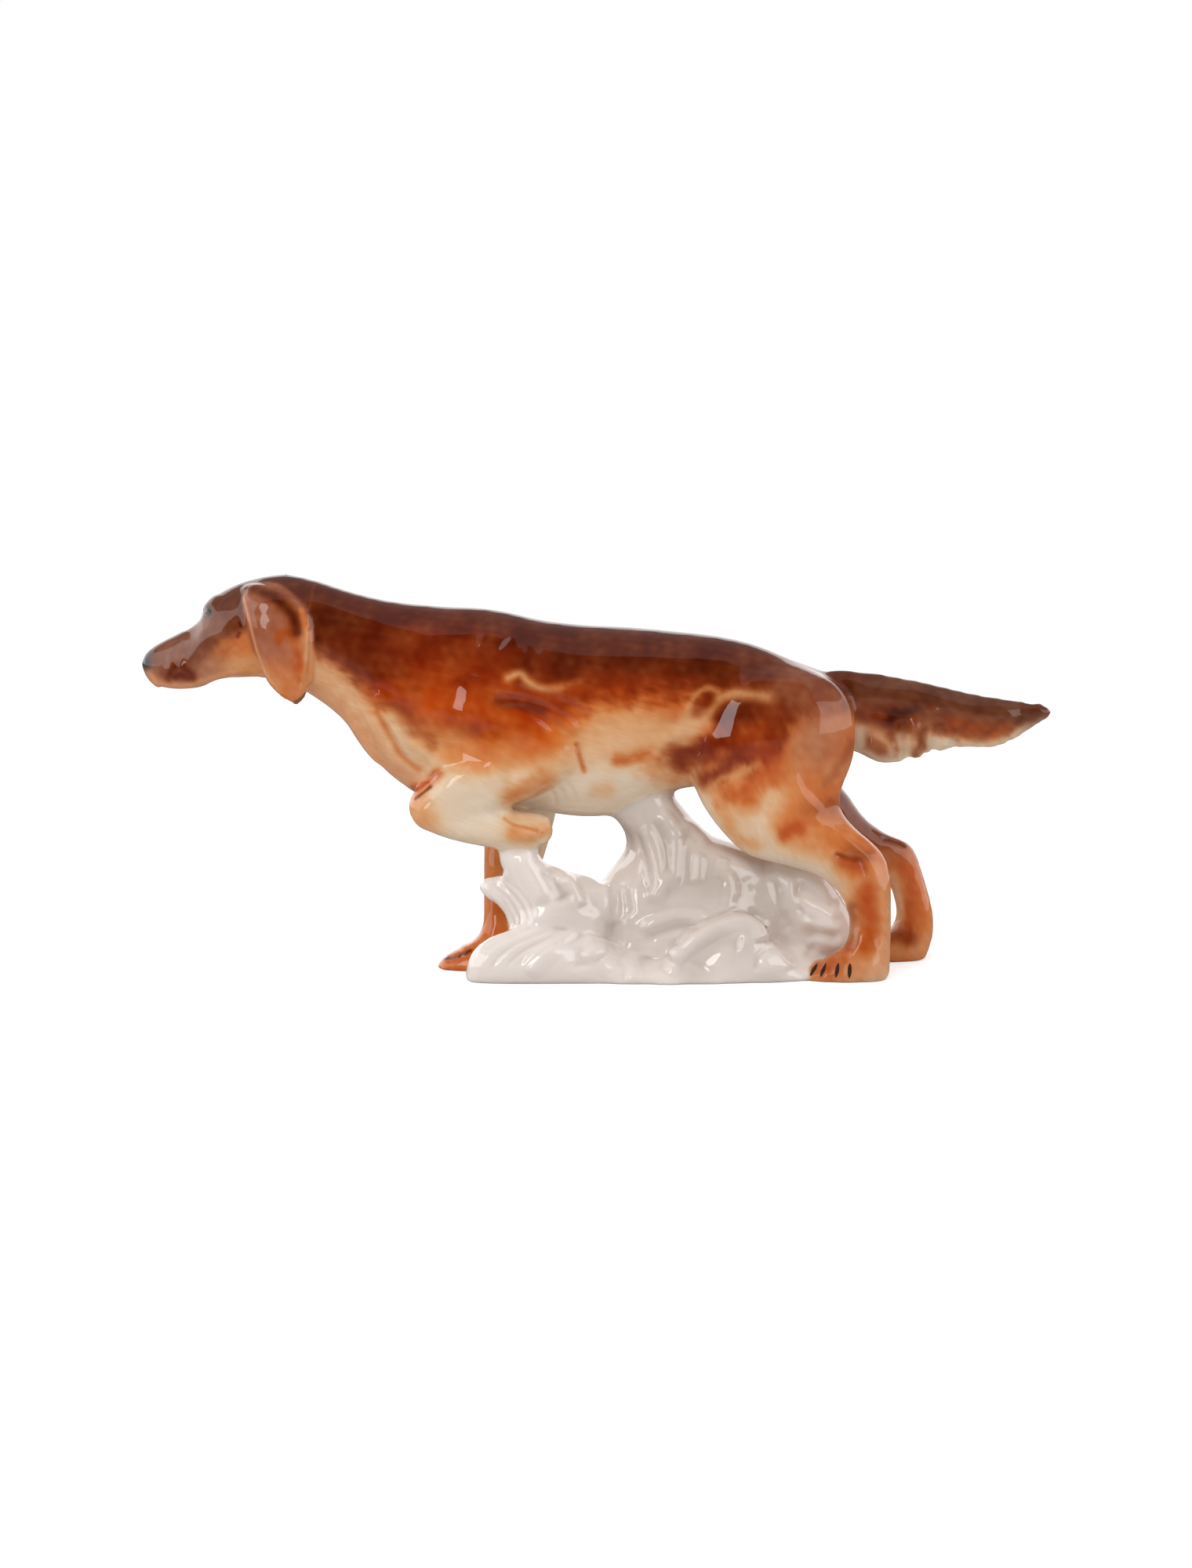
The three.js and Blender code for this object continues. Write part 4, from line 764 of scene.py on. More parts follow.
class Skin:
    """The figure's surface as arrays, in millimetres: points, quads and what each point is near."""

    def __init__(self, mesh):
        count = len(mesh.vertices)
        points = np.empty(count * 3)
        mesh.vertices.foreach_get("co", points)
        self.points = points.reshape(-1, 3) / MM
        corners = np.empty(len(mesh.loops), int)
        mesh.loops.foreach_get("vertex_index", corners)
        if len(corners) != 4 * len(mesh.polygons):
            raise RuntimeError("the skin has faces that aren't quads")
        self.quads = corners.reshape(-1, 4)
        pairs = np.concatenate([self.quads[:, [a, (a + 1) % 4]] for a in range(4)])
        pairs = np.unique(np.sort(pairs, axis=1), axis=0)
        both = np.concatenate([pairs, pairs[:, ::-1]])
        both = both[np.argsort(both[:, 0], kind="stable")]
        self.beside = both[:, 1]
        self.degree = np.bincount(both[:, 0], minlength=count)
        self.first = np.concatenate([[0], np.cumsum(self.degree)[:-1]])

    def neighbour_mean(self, values):
        sums = np.add.reduceat(values[self.beside], self.first, axis=0)
        return sums / (self.degree if values.ndim == 1 else self.degree[:, None])

    def relaxed(self, values, rounds, strength=0.5):
        if np.ndim(strength) == 1 and values.ndim == 2:
            strength = strength[:, None]
        for _ in range(rounds):
            values = values + strength * (self.neighbour_mean(values) - values)
        return values

    def normals(self):
        a, b, c, d = (self.points[self.quads[:, corner]] for corner in range(4))
        across = np.cross(c - a, d - b)
        total = np.zeros_like(self.points)
        for axis in range(3):
            for corner in range(4):
                total[:, axis] += np.bincount(self.quads[:, corner], across[:, axis], len(self.points))
        return total / (np.linalg.norm(total, axis=1)[:, None] + 1e-12)

    def smooth(self, rounds, strength=0.5):
        """Softens the form but keeps its size, by giving back what one smoothing takes away."""
        once = self.relaxed(self.points, rounds, strength)
        twice = self.relaxed(once, rounds, strength)
        self.points = 2 * once - twice

    def settle(self):
        """Looks up the castings that each point belongs to and where it shows from the near side."""
        self.normal = self.normals()
        self.nearest = nearest_casting(self.points)
        self.share = {}
        for number, name in enumerate(CASTINGS):
            self.share[name] = self.relaxed((self.nearest == number).astype(float), SHARE_ROUNDS)
        self.seen = as_seen(self.points)
        self.mirrored = as_seen(self.near_image())
        self.grain = self.ragged()

    def near_image(self):
        """Each point, or its mirror image where it lies on the far side of the body or the head."""
        trunk = self.points.copy()
        trunk[:, 1] = -np.abs(trunk[:, 1])
        face = frame["nodes"]["head"].data
        places = np.array([v.co / MM for v in face.vertices])
        heart = places.mean(axis=0)
        spread = np.cov((places - heart)[:, :2].T)
        axis = np.linalg.eigh(spread)[1][:, 1]
        sideways = np.array([axis[1], -axis[0]])
        sideways *= np.sign(sideways[1])
        past = np.maximum((self.points[:, :2] - heart[:2]) @ sideways, 0)
        head = self.points.copy()
        head[:, :2] -= 2 * past[:, None] * sideways
        weight = self.on(HEAD_AND_EARS)[:, None]
        return weight * head + (1 - weight) * trunk

    def ragged(self):
        """Small random numbers that are drawn out along the hair, for the edges of sprayed colours."""
        total = np.zeros(len(self.points))
        for name in CASTINGS:
            near = np.flatnonzero(self.share[name] > SHARE_LEAST)
            place = hair_frame(self.points[near], name) * EDGE_STRETCH
            total[near] += self.share[name][near] * rippled(place, EDGE_RIPPLES)
        return total

    def on(self, names):
        """How far each point belongs to the castings that are named."""
        return np.clip(SHARE_GAIN * sum(self.share[name] for name in names), 0, 1)

    def facing(self, side):
        """1 where a stroke for that side lands, falling to 0 round the figure's edge."""
        if side != NEAR:
            return np.ones(len(self.points))
        return smoothstep(*FACING_EDGE, -self.normal[:, 1])

    def flat(self, side):
        """Where the points show for strokes of that side."""
        return self.mirrored if side == BOTH else self.seen

    def landing(self, stroke):
        """How far each point takes part in a stroke."""
        return self.on(stroke.castings.split()) * self.facing(stroke.side)

    def beside_line(self, stroke, reach):
        """The points near a stroke: which, how far from it, how far along it and how much it covers them."""
        line = curve_through(from_photo(stroke.line))
        flat = self.flat(stroke.side)
        inside = np.all((flat > line.min(axis=0) - reach) & (flat < line.max(axis=0) + reach), axis=1)
        weight = self.landing(stroke)
        which = np.flatnonzero(inside & (weight > SHARE_LEAST))
        spots = flat[which]
        away = np.full(len(which), 1e9)
        along = np.zeros(len(which))
        lengths = np.linalg.norm(np.diff(line, axis=0), axis=1)
        reached = np.concatenate([[0], np.cumsum(lengths)])
        for number in range(len(lengths)):
            start = line[number]
            step = line[number + 1] - start
            share = np.clip((spots - start) @ step / max(step @ step, 1e-9), 0, 1)
            gap = np.linalg.norm(spots - start - share[:, None] * step, axis=1)
            closer = gap < away
            away[closer] = gap[closer]
            along[closer] = (reached[number] + share[closer] * lengths[number]) / reached[-1]
        return which, away, along, weight[which]

    def shape(self, form):
        """Raises a ridge, presses a groove if the depth is negative, or sponges if there is no depth."""
        which, away, along, weight = self.beside_line(form, form.width)
        bump = np.clip(1 - (away / form.width) ** 2, 0, 1) ** 2
        if form.depth is None:
            step = self.relaxed(self.points, SPONGE_ROUNDS)[which] - self.points[which]
            self.points[which] += step * (smoothstep(0, SPONGE_EDGE, bump) * weight)[:, None]
            return
        if form.taper:
            bump *= smoothstep(0, form.taper, along) * smoothstep(0, form.taper, 1 - along)
        self.points[which] += self.normal[which] * (bump * weight * form.depth)[:, None]

    def spray(self, spray, colour):
        """Airbrushes a colour: along the line, or where no width is given on all that lies above it."""
        if spray.width is None:
            line = curve_through(from_photo(spray.line))
            across, up = self.flat(spray.side).T
            height = up - np.interp(across, *line.T) + spray.ragged * self.grain
            cover = smoothstep(-spray.soft / 2, spray.soft / 2, height) * self.landing(spray)
            self.paint *= (colour / self.paint) ** (cover * spray.strength)[:, None]
            return
        reach = np.dot(SPRAY_REACH, (spray.width, spray.soft, spray.ragged))
        which, away, _, weight = self.beside_line(spray, reach)
        away = away + spray.ragged * self.grain[which]
        spread = np.dot(SPRAY_SPREAD, (spray.width, spray.soft))
        cover = np.exp(-((away / spread) ** 2) / 2) * weight * spray.strength
        self.paint[which] *= (colour / self.paint[which]) ** cover[:, None]


def nearest_casting(points):
    """The number of the casting whose solid lies closest to each point."""
    corners, faces, owner = [], [], []
    for number, name in enumerate(CASTINGS):
        mesh = frame["nodes"][name].data
        start = len(corners)
        corners += [tuple(v.co / MM) for v in mesh.vertices]
        mesh.calc_loop_triangles()
        for triangle in mesh.loop_triangles:
            faces.append([start + corner for corner in triangle.vertices])
            owner.append(number)
    tree = BVHTree.FromPolygons(corners, faces)
    owner = np.array(owner)
    found = [tree.find_nearest(Vector(point))[2] for point in points]
    return owner[found]


def placed(name, data):
    """A new object of that data, linked to the scene."""
    piece = bpy.data.objects.new(name, data)
    bpy.context.scene.collection.objects.link(piece)
    return piece


def fused_castings(voxel, swell):
    """One closed skin round all the castings: each is swollen to close the seams, then remeshed."""
    joined = bmesh.new()
    for name in CASTINGS:
        casting = bmesh.new()
        casting.from_mesh(frame["nodes"][name].data)
        bmesh.ops.remove_doubles(casting, verts=casting.verts, dist=1e-6)
        casting.normal_update()
        for vertex in casting.verts:
            vertex.co += vertex.normal * swell
        mesh = bpy.data.meshes.new("swollen")
        casting.to_mesh(mesh)
        joined.from_mesh(mesh)
        casting.free()
        bpy.data.meshes.remove(mesh)
    mesh = bpy.data.meshes.new("fused")
    joined.to_mesh(mesh)
    joined.free()
    block = placed("fused", mesh)
    remesh = block.modifiers.new("remesh", "REMESH")
    remesh.mode = "VOXEL"
    remesh.voxel_size = voxel
    return block


def plain_mesh(block):
    """The block's mesh with its modifiers applied; the block itself is removed."""
    graph = bpy.context.evaluated_depsgraph_get()
    mesh = bpy.data.meshes.new_from_object(block.evaluated_get(graph))
    bpy.data.objects.remove(block)
    return mesh


def subdivided(skin):
    """The skin with each quad split in four and rounded."""
    mesh = bpy.data.meshes.new("fine")
    mesh.from_pydata((skin.points * MM).tolist(), [], skin.quads.tolist())
    block = placed("fine", mesh)
    finer = block.modifiers.new("finer", "SUBSURF")
    finer.levels = finer.render_levels = 1
    return Skin(plain_mesh(block))


def largest_island(mesh):
    """Drops everything but the outer skin."""
    shape = bmesh.new()
    shape.from_mesh(mesh)
    left = set(shape.verts)
    best = []
    while left:
        seed = left.pop()
        island, edge = [seed], [seed]
        while edge:
            vertex = edge.pop()
            for link in vertex.link_edges:
                other = link.other_vert(vertex)
                if other in left:
                    left.remove(other)
                    island.append(other)
                    edge.append(other)
        if len(island) > len(best):
            best = island
    keep = set(best)
    bmesh.ops.delete(shape, geom=[v for v in shape.verts if v not in keep], context="VERTS")
    shape.to_mesh(mesh)
    shape.free()
    return mesh


class Studio:
    """What the operators hand on to each other: the painted skin, and each quad's casting."""

    skin = None
    owner = None


def most_votes(skin, owner, trusted):
    """For each quad the casting that most trusted quads round it belong to, and the number of their votes."""
    votes = np.zeros((len(skin.points), len(CASTINGS)))
    for number in range(len(CASTINGS)):
        mine = skin.quads[(owner == number) & trusted].ravel()
        votes[:, number] = np.bincount(mine, minlength=len(skin.points))
    tally = votes[skin.quads].sum(axis=1)
    return tally.argmax(axis=1), tally.max(axis=1)


def tidy_borders(skin):
    """The casting that each quad belongs to, with ragged borders evened out and stray patches joined."""
    owner = skin.nearest[skin.quads[:, 0]]
    for _ in range(BORDER_ROUNDS):
        owner, _ = most_votes(skin, owner, True)
    return join_strays(skin, owner)


def join_strays(skin, owner):
    """Gives every patch that is cut off from its casting's main patch to the casting round it."""
    for _ in range(STRAY_ROUNDS):
        patch = np.arange(len(owner))
        while True:
            lowest = np.full(len(skin.points) * len(CASTINGS), len(owner))
            keys = skin.quads * len(CASTINGS) + owner[:, None]
            np.minimum.at(lowest, keys.ravel(), np.repeat(patch, 4))
            spread = lowest[keys].min(axis=1)
            spread = spread[spread]
            if (spread == patch).all():
                break
            patch = spread
        size = np.bincount(patch, minlength=len(owner))
        main = {number: size[patch[owner == number]].max() for number in np.unique(owner)}
        stray = np.array([size[p] < main[o] for p, o in zip(patch, owner)])
        if not stray.any():
            break
        around, votes = most_votes(skin, owner, ~stray)
        owner = np.where(stray & (votes > 0), around, owner)
    return owner


def cut_out(name):
    """Cuts one casting out of the skin and closes it where it is luted to its neighbours."""
    skin = Studio.skin
    quads = skin.quads[Studio.owner == CASTINGS.index(name)]
    used = np.unique(quads)
    place = np.full(len(skin.points), -1)
    place[used] = np.arange(len(used))
    faces = place[quads].tolist()
    points = skin.points[used]
    open_edges = {}
    for face in faces:
        for corner in range(4):
            a, b = face[corner], face[(corner + 1) % 4]
            if (b, a) in open_edges:
                del open_edges[(b, a)]
            else:
                open_edges[(a, b)] = True
    group = {}

    def root(vertex):
        while group.setdefault(vertex, vertex) != vertex:
            group[vertex] = group[group[vertex]]
            vertex = group[vertex]
        return vertex

    for a, b in open_edges:
        group[root(a)] = root(b)
    rims = {}
    for a, b in open_edges:
        rims.setdefault(root(a), []).append((a, b))
    everything = points
    for rim in rims.values():
        edge = [a for a, _ in rim]
        inward = skin.normal[used[edge]]
        step = min(CAP_DEPTH, CAP_SHARE * np.ptp(points[edge], axis=0).max())
        lip = points[edge] - inward * LUTED_DEPTH
        floor = lip - inward * step
        start = len(everything)
        lips = {a: start + number for number, a in enumerate(edge)}
        floors = {a: index + len(edge) for a, index in lips.items()}
        tip = start + 2 * len(edge)
        everything = np.vstack([everything, lip, floor, floor.mean(axis=0)])
        for a, b in rim:
            faces.append((b, a, lips[a], lips[b]))
            faces.append((lips[b], lips[a], floors[a], floors[b]))
            faces.append((floors[b], floors[a], tip))
    hidden = len(everything) - len(points)
    mesh = bpy.data.meshes.new(name + "_glazed")
    mesh.from_pydata((everything * MM).tolist(), [], faces)
    mesh.shade_smooth()
    normals = np.vstack([skin.normal[used], np.tile((0.0, 0.0, 1.0), (hidden, 1))])
    mesh.normals_split_custom_set_from_vertices(normals.tolist())
    lay = hair_frame(everything, name) * HAIR_STRETCH
    paint = np.vstack([skin.paint[used], np.repeat(skin.paint[used[:1]], hidden, axis=0)])
    for layer, rows in (("airbrush", paint), ("lay", lay)):
        rows = np.hstack([rows, np.ones((len(rows), 1))])
        attribute = mesh.attributes.new(layer, "FLOAT_COLOR", "POINT")
        attribute.data.foreach_set("color", rows.astype(np.float32).ravel())
    mesh.update()
    return placed(name + "_glazed", mesh)


def finish_piece(piece, node, material):
    """Gives a piece its one material, hangs it on the root body and hides the casting that it replaces."""
    piece.data.materials.clear()
    piece.data.materials.append(material)
    piece.data.polygons.foreach_set("material_index", [0] * len(piece.data.polygons))
    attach(piece, "root")
    if node:
        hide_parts(node)


# Glaze


def wired(tree, node, inputs):
    """Sets a node's inputs, and links those for which another node's output is given."""
    for label, value in inputs.items():
        if isinstance(value, bpy.types.NodeSocket):
            tree.links.new(value, node.inputs[label])
        else:
            node.inputs[label].default_value = value
    return node


def added(tree, kind, inputs, **fields):
    """A new node with these inputs and fields."""
    node = tree.nodes.new(kind)
    for field, value in fields.items():
        setattr(node, field, value)
    return wired(tree, node, inputs)


def calculated(tree, operation, *values):
    """The result of a sum over numbers and other nodes' outputs."""
    return added(tree, "ShaderNodeMath", dict(enumerate(values)), operation=operation).outputs["Value"]


def node_group(name, kind, enters, leaves):
    """A new node group, what enters it by name, and the node at which it is left."""
    tree = bpy.data.node_groups.new(name, kind)
    for way, sockets in (("INPUT", enters), ("OUTPUT", leaves)):
        for label, socket in sockets.items():
            tree.interface.new_socket(label, in_out=way, socket_type="NodeSocket" + socket)
    return tree, tree.nodes.new("NodeGroupInput").outputs, tree.nodes.new("NodeGroupOutput")


def shaded(name, inputs):
    """A new material with its node tree and its shader, whose inputs are set."""
    material = bpy.data.materials.new(name)
    material.use_nodes = True
    tree = material.node_tree
    return material, tree, wired(tree, tree.nodes["Principled BSDF"], inputs)


def brush_marks():
    """Node group: fine strokes of the brush that lie along the hair."""
    name = "brush marks"
    if name in bpy.data.node_groups:
        return bpy.data.node_groups[name]
    enters = {"Color": "Color", "Lay": "Vector", "Scale": "Float", "Strength": "Float"}
    tree, given, leave = node_group(name, "ShaderNodeTree", enters, {"Color": "Color"})
    hairs = {"Vector": given["Lay"], "Scale": given["Scale"], "Detail": 5, "Roughness": 0.62}
    noise = added(tree, "ShaderNodeTexNoise", hairs).outputs["Fac"]
    reach = {"Value": noise, "From Min": 0.3, "From Max": 0.7, "To Min": -1, "To Max": 1}
    spread = added(tree, "ShaderNodeMapRange", reach).outputs["Result"]
    amount = calculated(tree, "MULTIPLY_ADD", spread, given["Strength"], 1)
    hue = added(tree, "ShaderNodeHueSaturation", {"Color": given["Color"], "Value": amount})
    wired(tree, leave, {"Color": hue.outputs["Color"]})
    return tree


def glaze_surface():
    """Node group: the faint waviness that a fired clear glaze keeps."""
    name = "glaze surface"
    if name in bpy.data.node_groups:
        return bpy.data.node_groups[name]
    tree, given, leave = node_group(name, "ShaderNodeTree", {"Scale": "Float"}, {"Height": "Float"})
    place = added(tree, "ShaderNodeTexCoord", {}).outputs["Object"]
    wave = added(tree, "ShaderNodeTexNoise", {"Vector": place, "Scale": given["Scale"], "Detail": 2})
    wired(tree, leave, {"Height": wave.outputs["Fac"]})
    return tree


def glaze(name, strength, ripple, index):
    """Fired colour under a clear glaze."""
    clear = {"Coat Weight": 1.0, "Coat Roughness": 0.035, "Coat IOR": index}
    material, tree, shader = shaded(name, {"Roughness": 0.5, "Specular IOR Level": 0.0, **clear})
    colour = added(tree, "ShaderNodeAttribute", {}, attribute_name="airbrush").outputs["Color"]
    lay = added(tree, "ShaderNodeAttribute", {}, attribute_name="lay").outputs["Vector"]
    marks = added(tree, "ShaderNodeGroup", {}, node_tree=brush_marks())
    wired(tree, marks, {"Color": colour, "Lay": lay, "Scale": 1.0, "Strength": strength})
    surface = added(tree, "ShaderNodeGroup", {}, node_tree=glaze_surface())
    wired(tree, surface, {"Scale": WAVES_PER_METRE})
    height = surface.outputs["Height"]
    bump = added(tree, "ShaderNodeBump", {"Strength": ripple, "Distance": MM, "Height": height})
    normal = bump.outputs["Normal"]
    wired(tree, shader, {"Base Color": marks.outputs["Color"], "Normal": normal, "Coat Normal": normal})
    return material


def fired_material(context, slot):
    """The material of a slot of the record, made when it is first asked for."""
    name = "fired_" + slot
    found = bpy.data.materials.get(name)
    if found:
        return found
    finish = context.scene.setter_finish
    if slot == "rock_glaze":
        return glaze(name, finish.rock_marks, finish.waviness, finish.rock_index)
    return glaze(name, finish.hair_marks, finish.waviness, finish.coat_index)


# Modelling and painting


def luted_skin(sizes):
    """The figure's outer skin: the castings joined without a seam, softened, then split finer."""
    mesh = largest_island(plain_mesh(fused_castings(sizes.detail * MM, sizes.slip * MM)))
    coarse = Skin(mesh)
    nearest = nearest_casting(coarse.points)
    gentle = np.isin(nearest, [CASTINGS.index(name) for name in CRISP_CASTINGS])
    strength = coarse.relaxed(np.where(gentle, CRISP_STRENGTH, SOFT_STRENGTH), STRENGTH_ROUNDS)
    coarse.smooth(sizes.softening, strength)
    skin = subdivided(coarse)
    skin.points[:, 2] = np.maximum(skin.points[:, 2], 0)
    skin.settle()
    for _ in range(PIT_ROUNDS):
        deep = smoothstep(*PIT_DEPTHS, hollowness(skin, PIT_SPONGING))
        deep *= 1 - skin.on((*HEAD_AND_EARS, "tail"))
        skin.points += deep[:, None] * (skin.relaxed(skin.points, PIT_FILLING) - skin.points)
        skin.normal = skin.normals()
    skin.settle()
    return skin


def model_forms(skin):
    """Works every ridge and groove into the skin, group by group."""
    for forms in FORMS:
        for form in forms:
            skin.shape(form)
        skin.normal = skin.normals()
    skin.points[:, 2] = np.maximum(skin.points[:, 2], 0)
    skin.normal = skin.normals()
    skin.seen = as_seen(skin.points)
    skin.mirrored = as_seen(skin.near_image())


def hollowness(skin, rounds):
    """How far each point lies below the surface round it, in millimetres."""
    return ((skin.relaxed(skin.points, rounds) - skin.points) * skin.normal).sum(axis=1)


def airbrush_coat(skin, colours):
    """Lays the ground colours and then every sprayed colour in its order."""
    ivory = np.array(colours.ivory)
    cream = np.array(colours.cream)
    dog = skin.on(DOG)[:, None]
    skin.paint = ivory + dog * (cream - ivory)
    for sprays in PAINT:
        for spray in sprays:
            skin.spray(spray, np.array(getattr(colours, spray.colour)))
    clouds = 1 + rippled(skin.points, CLOUD_RIPPLES)
    skin.paint = ivory * (skin.paint / ivory) ** (dog * clouds[:, None] + 1 - dog)
    # The rockwork's hollows are tinted darker: partly pooled glaze, partly painted shade.
    sunk = np.clip(hollowness(skin, POOL_SHADE_SPONGING) / POOL_SHADE_DEPTH, 0, 1)
    pooled = sunk * skin.on(ROCK) * POOL_SHADE_TINT
    skin.paint += pooled[:, None] * (np.array(colours.pooled) - skin.paint)


# Settings


def glaze_colour(name, description, *seen):
    """A colour setting whose default is given as the eye reads it, 0 to 255."""
    light = tuple(linear(*seen))
    return FloatVectorProperty(
        name=name, description=description, default=light, min=0, max=1, subtype="COLOR"
    )


class SetterSizes(bpy.types.PropertyGroup):
    """How finely the castings are joined, and the sizes of the claws."""

    detail: FloatProperty(
        name="Detail", default=1.25, min=0.8,
        description="Grid on which the castings are joined, in millimetres",
    )
    slip: FloatProperty(
        name="Slip", default=0.22,
        description="How far each casting swells to close its seams, in millimetres",
    )
    softening: IntProperty(name="Softening", description="Rounds of sponging over the joins", default=20)
    claw_width: FloatProperty(name="Claw width", description="Width of a claw", default=0.0017, unit="LENGTH")
    claw_height: FloatProperty(
        name="Claw height", description="How far a claw stands out of the toe", default=0.0002, unit="LENGTH"
    )


class SetterColours(bpy.types.PropertyGroup):
    """The colours in the airbrush."""

    chocolate: glaze_colour("Chocolate", "Back, skull and top of the tail", 84, 30, 8)
    umber: glaze_colour("Umber", "Fine dark lines", 62, 20, 6)
    chestnut: glaze_colour("Chestnut", "Face, rump and shadows", 120, 56, 28)
    # Mahogany is a painted reflection: the dark open front of the tent mirrored in the flews.
    mahogany: glaze_colour("Mahogany", "Patch of the flews", 100, 34, 7)
    rust: glaze_colour("Rust", "Sides of the coat", 111, 35, 8)
    copper: glaze_colour("Copper", "Warm patches in the rust", 169, 63, 17)
    amber: glaze_colour("Amber", "Legs, ears and tail", 184, 96, 48)
    ember: glaze_colour("Ember", "Glowing patches of the shoulder", 184, 70, 15)
    orange: glaze_colour("Orange", "Edges of the rust", 204, 116, 60)
    # Ash is a painted reflection: greyed brown for the bright tent mirrored in the glaze of ear, rump, tail
    # and face.
    ash: glaze_colour("Ash", "Greyed brown of ear, rump and tail", 150, 92, 72)
    # Clay also gives a painted highlight along the ear's front rim and a painted reflection along the near
    # cannon's edge.
    clay: glaze_colour("Clay", "Throat, lips and rims", 208, 144, 100)
    tan: glaze_colour("Tan", "Lower edge of the coat", 211, 162, 120)
    sand: glaze_colour("Sand", "Light streaks", 208, 152, 102)
    cream: glaze_colour("Cream", "Ground of the coat", 216, 194, 168)
    bone: glaze_colour("Bone", "Belly, forearm and stifle", 218, 198, 176)
    # Olive is painted shade: the far ear's tip hangs under the neck behind the near ear.
    olive: glaze_colour("Olive", "Tip of the far ear", 130, 98, 68)
    # Slate also tints the painted reflection on the face and along the tail's top.
    slate: glaze_colour("Slate", "Nose and eyes", 48, 46, 56)
    ivory: glaze_colour("Ivory", "Rockwork", 230, 219, 212)
    # Milk is painted light: the leaf in the arch, which the hind leg shades, is painted near white as if lit.
    milk: glaze_colour("Milk", "Leaf in the arch", 246, 238, 231)
    # Shade is painted shade on the rockwork: on the column under the belly, in the saddle, before the leaf
    # and inside the roll.
    shade: glaze_colour("Shade", "Greyer glaze on the column and the saddle", 204, 191, 182)
    # Pooled glaze is partly the glaze that pools in the rockwork's hollows and partly painted shade in them.
    pooled: glaze_colour("Pooled glaze", "Hollows of the rockwork", 174, 158, 144)
    claw: glaze_colour("Claw", "Enamel of the claws", 40, 24, 16)


class SetterFinish(bpy.types.PropertyGroup):
    """How the fired surface looks."""

    hair_marks: FloatProperty(
        name="Hair marks", description="Strength of the fine brush marks in the coat", default=0.05
    )
    rock_marks: FloatProperty(
        name="Rock marks", description="Strength of the marks in the rockwork", default=0.015
    )
    coat_index: FloatProperty(
        name="Coat Index", description="Refractive index of the glaze on the dog", default=1.5
    )
    rock_index: FloatProperty(
        name="Rock Index", description="Refractive index of the thick glaze on the rockwork", default=1.8
    )
    waviness: FloatProperty(name="Waviness", description="Unevenness of the clear glaze", default=0.03)


class SetterStudio(bpy.types.PropertyGroup):
    """The light tent, the window in it and the floor."""

    walls: FloatProperty(name="Walls", description="Brightness of the tent's walls", default=1.75)
    roof: FloatProperty(name="Roof", description="Brightness of the tent's roof", default=0.42)
    opening: FloatProperty(name="Opening", description="Brightness of the tent's open front", default=0.03)
    window: FloatProperty(name="Window", description="Brightness of the window at the front", default=4.0)
    lamp_power: FloatProperty(
        name="Lamp", description="Power of the soft lamp at the front left", default=7.5, unit="POWER"
    )
    floor_size: FloatProperty(name="Floor", description="Width of the floor", default=6.0, unit="LENGTH")


# Pieces


class GlazedCastings:
    """Cuts castings out of the painted skin and gives them their glaze."""

    bl_options = {"REGISTER"}
    castings = ()
    slot = "coat_glaze"

    def execute(self, context):
        if Studio.skin is None:
            raise RuntimeError("the castings are luted and painted first")
        for name in self.castings:
            finish_piece(cut_out(name), name, fired_material(context, self.slot))
        return {"FINISHED"}


class SETTER_OT_lute(bpy.types.Operator):
    """Lutes the castings together, models their forms and airbrushes the coat"""

    bl_idname = "setter.lute"
    bl_label = "Lute, model and paint"

    def execute(self, context):
        skin = luted_skin(context.scene.setter_sizes)
        model_forms(skin)
        airbrush_coat(skin, context.scene.setter_colours)
        Studio.skin = skin
        Studio.owner = tidy_borders(skin)
        return {"FINISHED"}


class SETTER_OT_trunk(GlazedCastings, bpy.types.Operator):
    """Makes the trunk and neck"""

    bl_idname = "setter.trunk"
    bl_label = "Trunk and neck"
    castings = ("body",)


class SETTER_OT_head(GlazedCastings, bpy.types.Operator):
    """Makes the head"""

    bl_idname = "setter.head"
    bl_label = "Head"
    castings = ("head",)


class SETTER_OT_ears(GlazedCastings, bpy.types.Operator):
    """Makes the two ears"""

    bl_idname = "setter.ears"
    bl_label = "Ears"
    castings = ("left_ear", "right_ear")


class SETTER_OT_tail(GlazedCastings, bpy.types.Operator):
    """Makes the tail with its feathering"""

    bl_idname = "setter.tail"
    bl_label = "Tail"
    castings = ("tail",)


class SETTER_OT_forelegs(GlazedCastings, bpy.types.Operator):
    """Makes the raised and the standing foreleg"""

    bl_idname = "setter.forelegs"
    bl_label = "Forelegs"
    castings = ("left_foreleg", "right_foreleg")
    slot = "pale_glaze"


class SETTER_OT_hind_legs(GlazedCastings, bpy.types.Operator):
    """Makes the two hind legs"""

    bl_idname = "setter.hind_legs"
    bl_label = "Hind legs"
    castings = ("left_hind_leg", "right_hind_leg")


class SETTER_OT_rockwork(GlazedCastings, bpy.types.Operator):
    """Makes the white rockwork"""

    bl_idname = "setter.rockwork"
    bl_label = "Rockwork"
    castings = ROCK
    slot = "rock_glaze"


class SETTER_OT_claws(bpy.types.Operator):
    """Paints the claws of the near hind foot in raised enamel"""

    bl_idname = "setter.claws"
    bl_label = "Claws"

    def execute(self, context):
        colours, sizes = context.scene.setter_colours, context.scene.setter_sizes
        material = enamel("claw_enamel", colours.claw)
        finish_piece(enamel_strokes("claws_enamel", CLAWS, sizes, material), None, material)
        return {"FINISHED"}


class SETTER_OT_stage(bpy.types.Operator):
    """Sets up the light tent, the floor and the camera"""

    bl_idname = "setter.stage"
    bl_label = "Stage"

    def execute(self, context):
        studio = context.scene.setter_studio
        light_tent(context.scene, studio)
        soft_lamp(studio)
        white_floor(studio)
        set_camera(context.scene)
        context.scene.view_settings.view_transform = "Standard"
        return {"FINISHED"}


# Claws


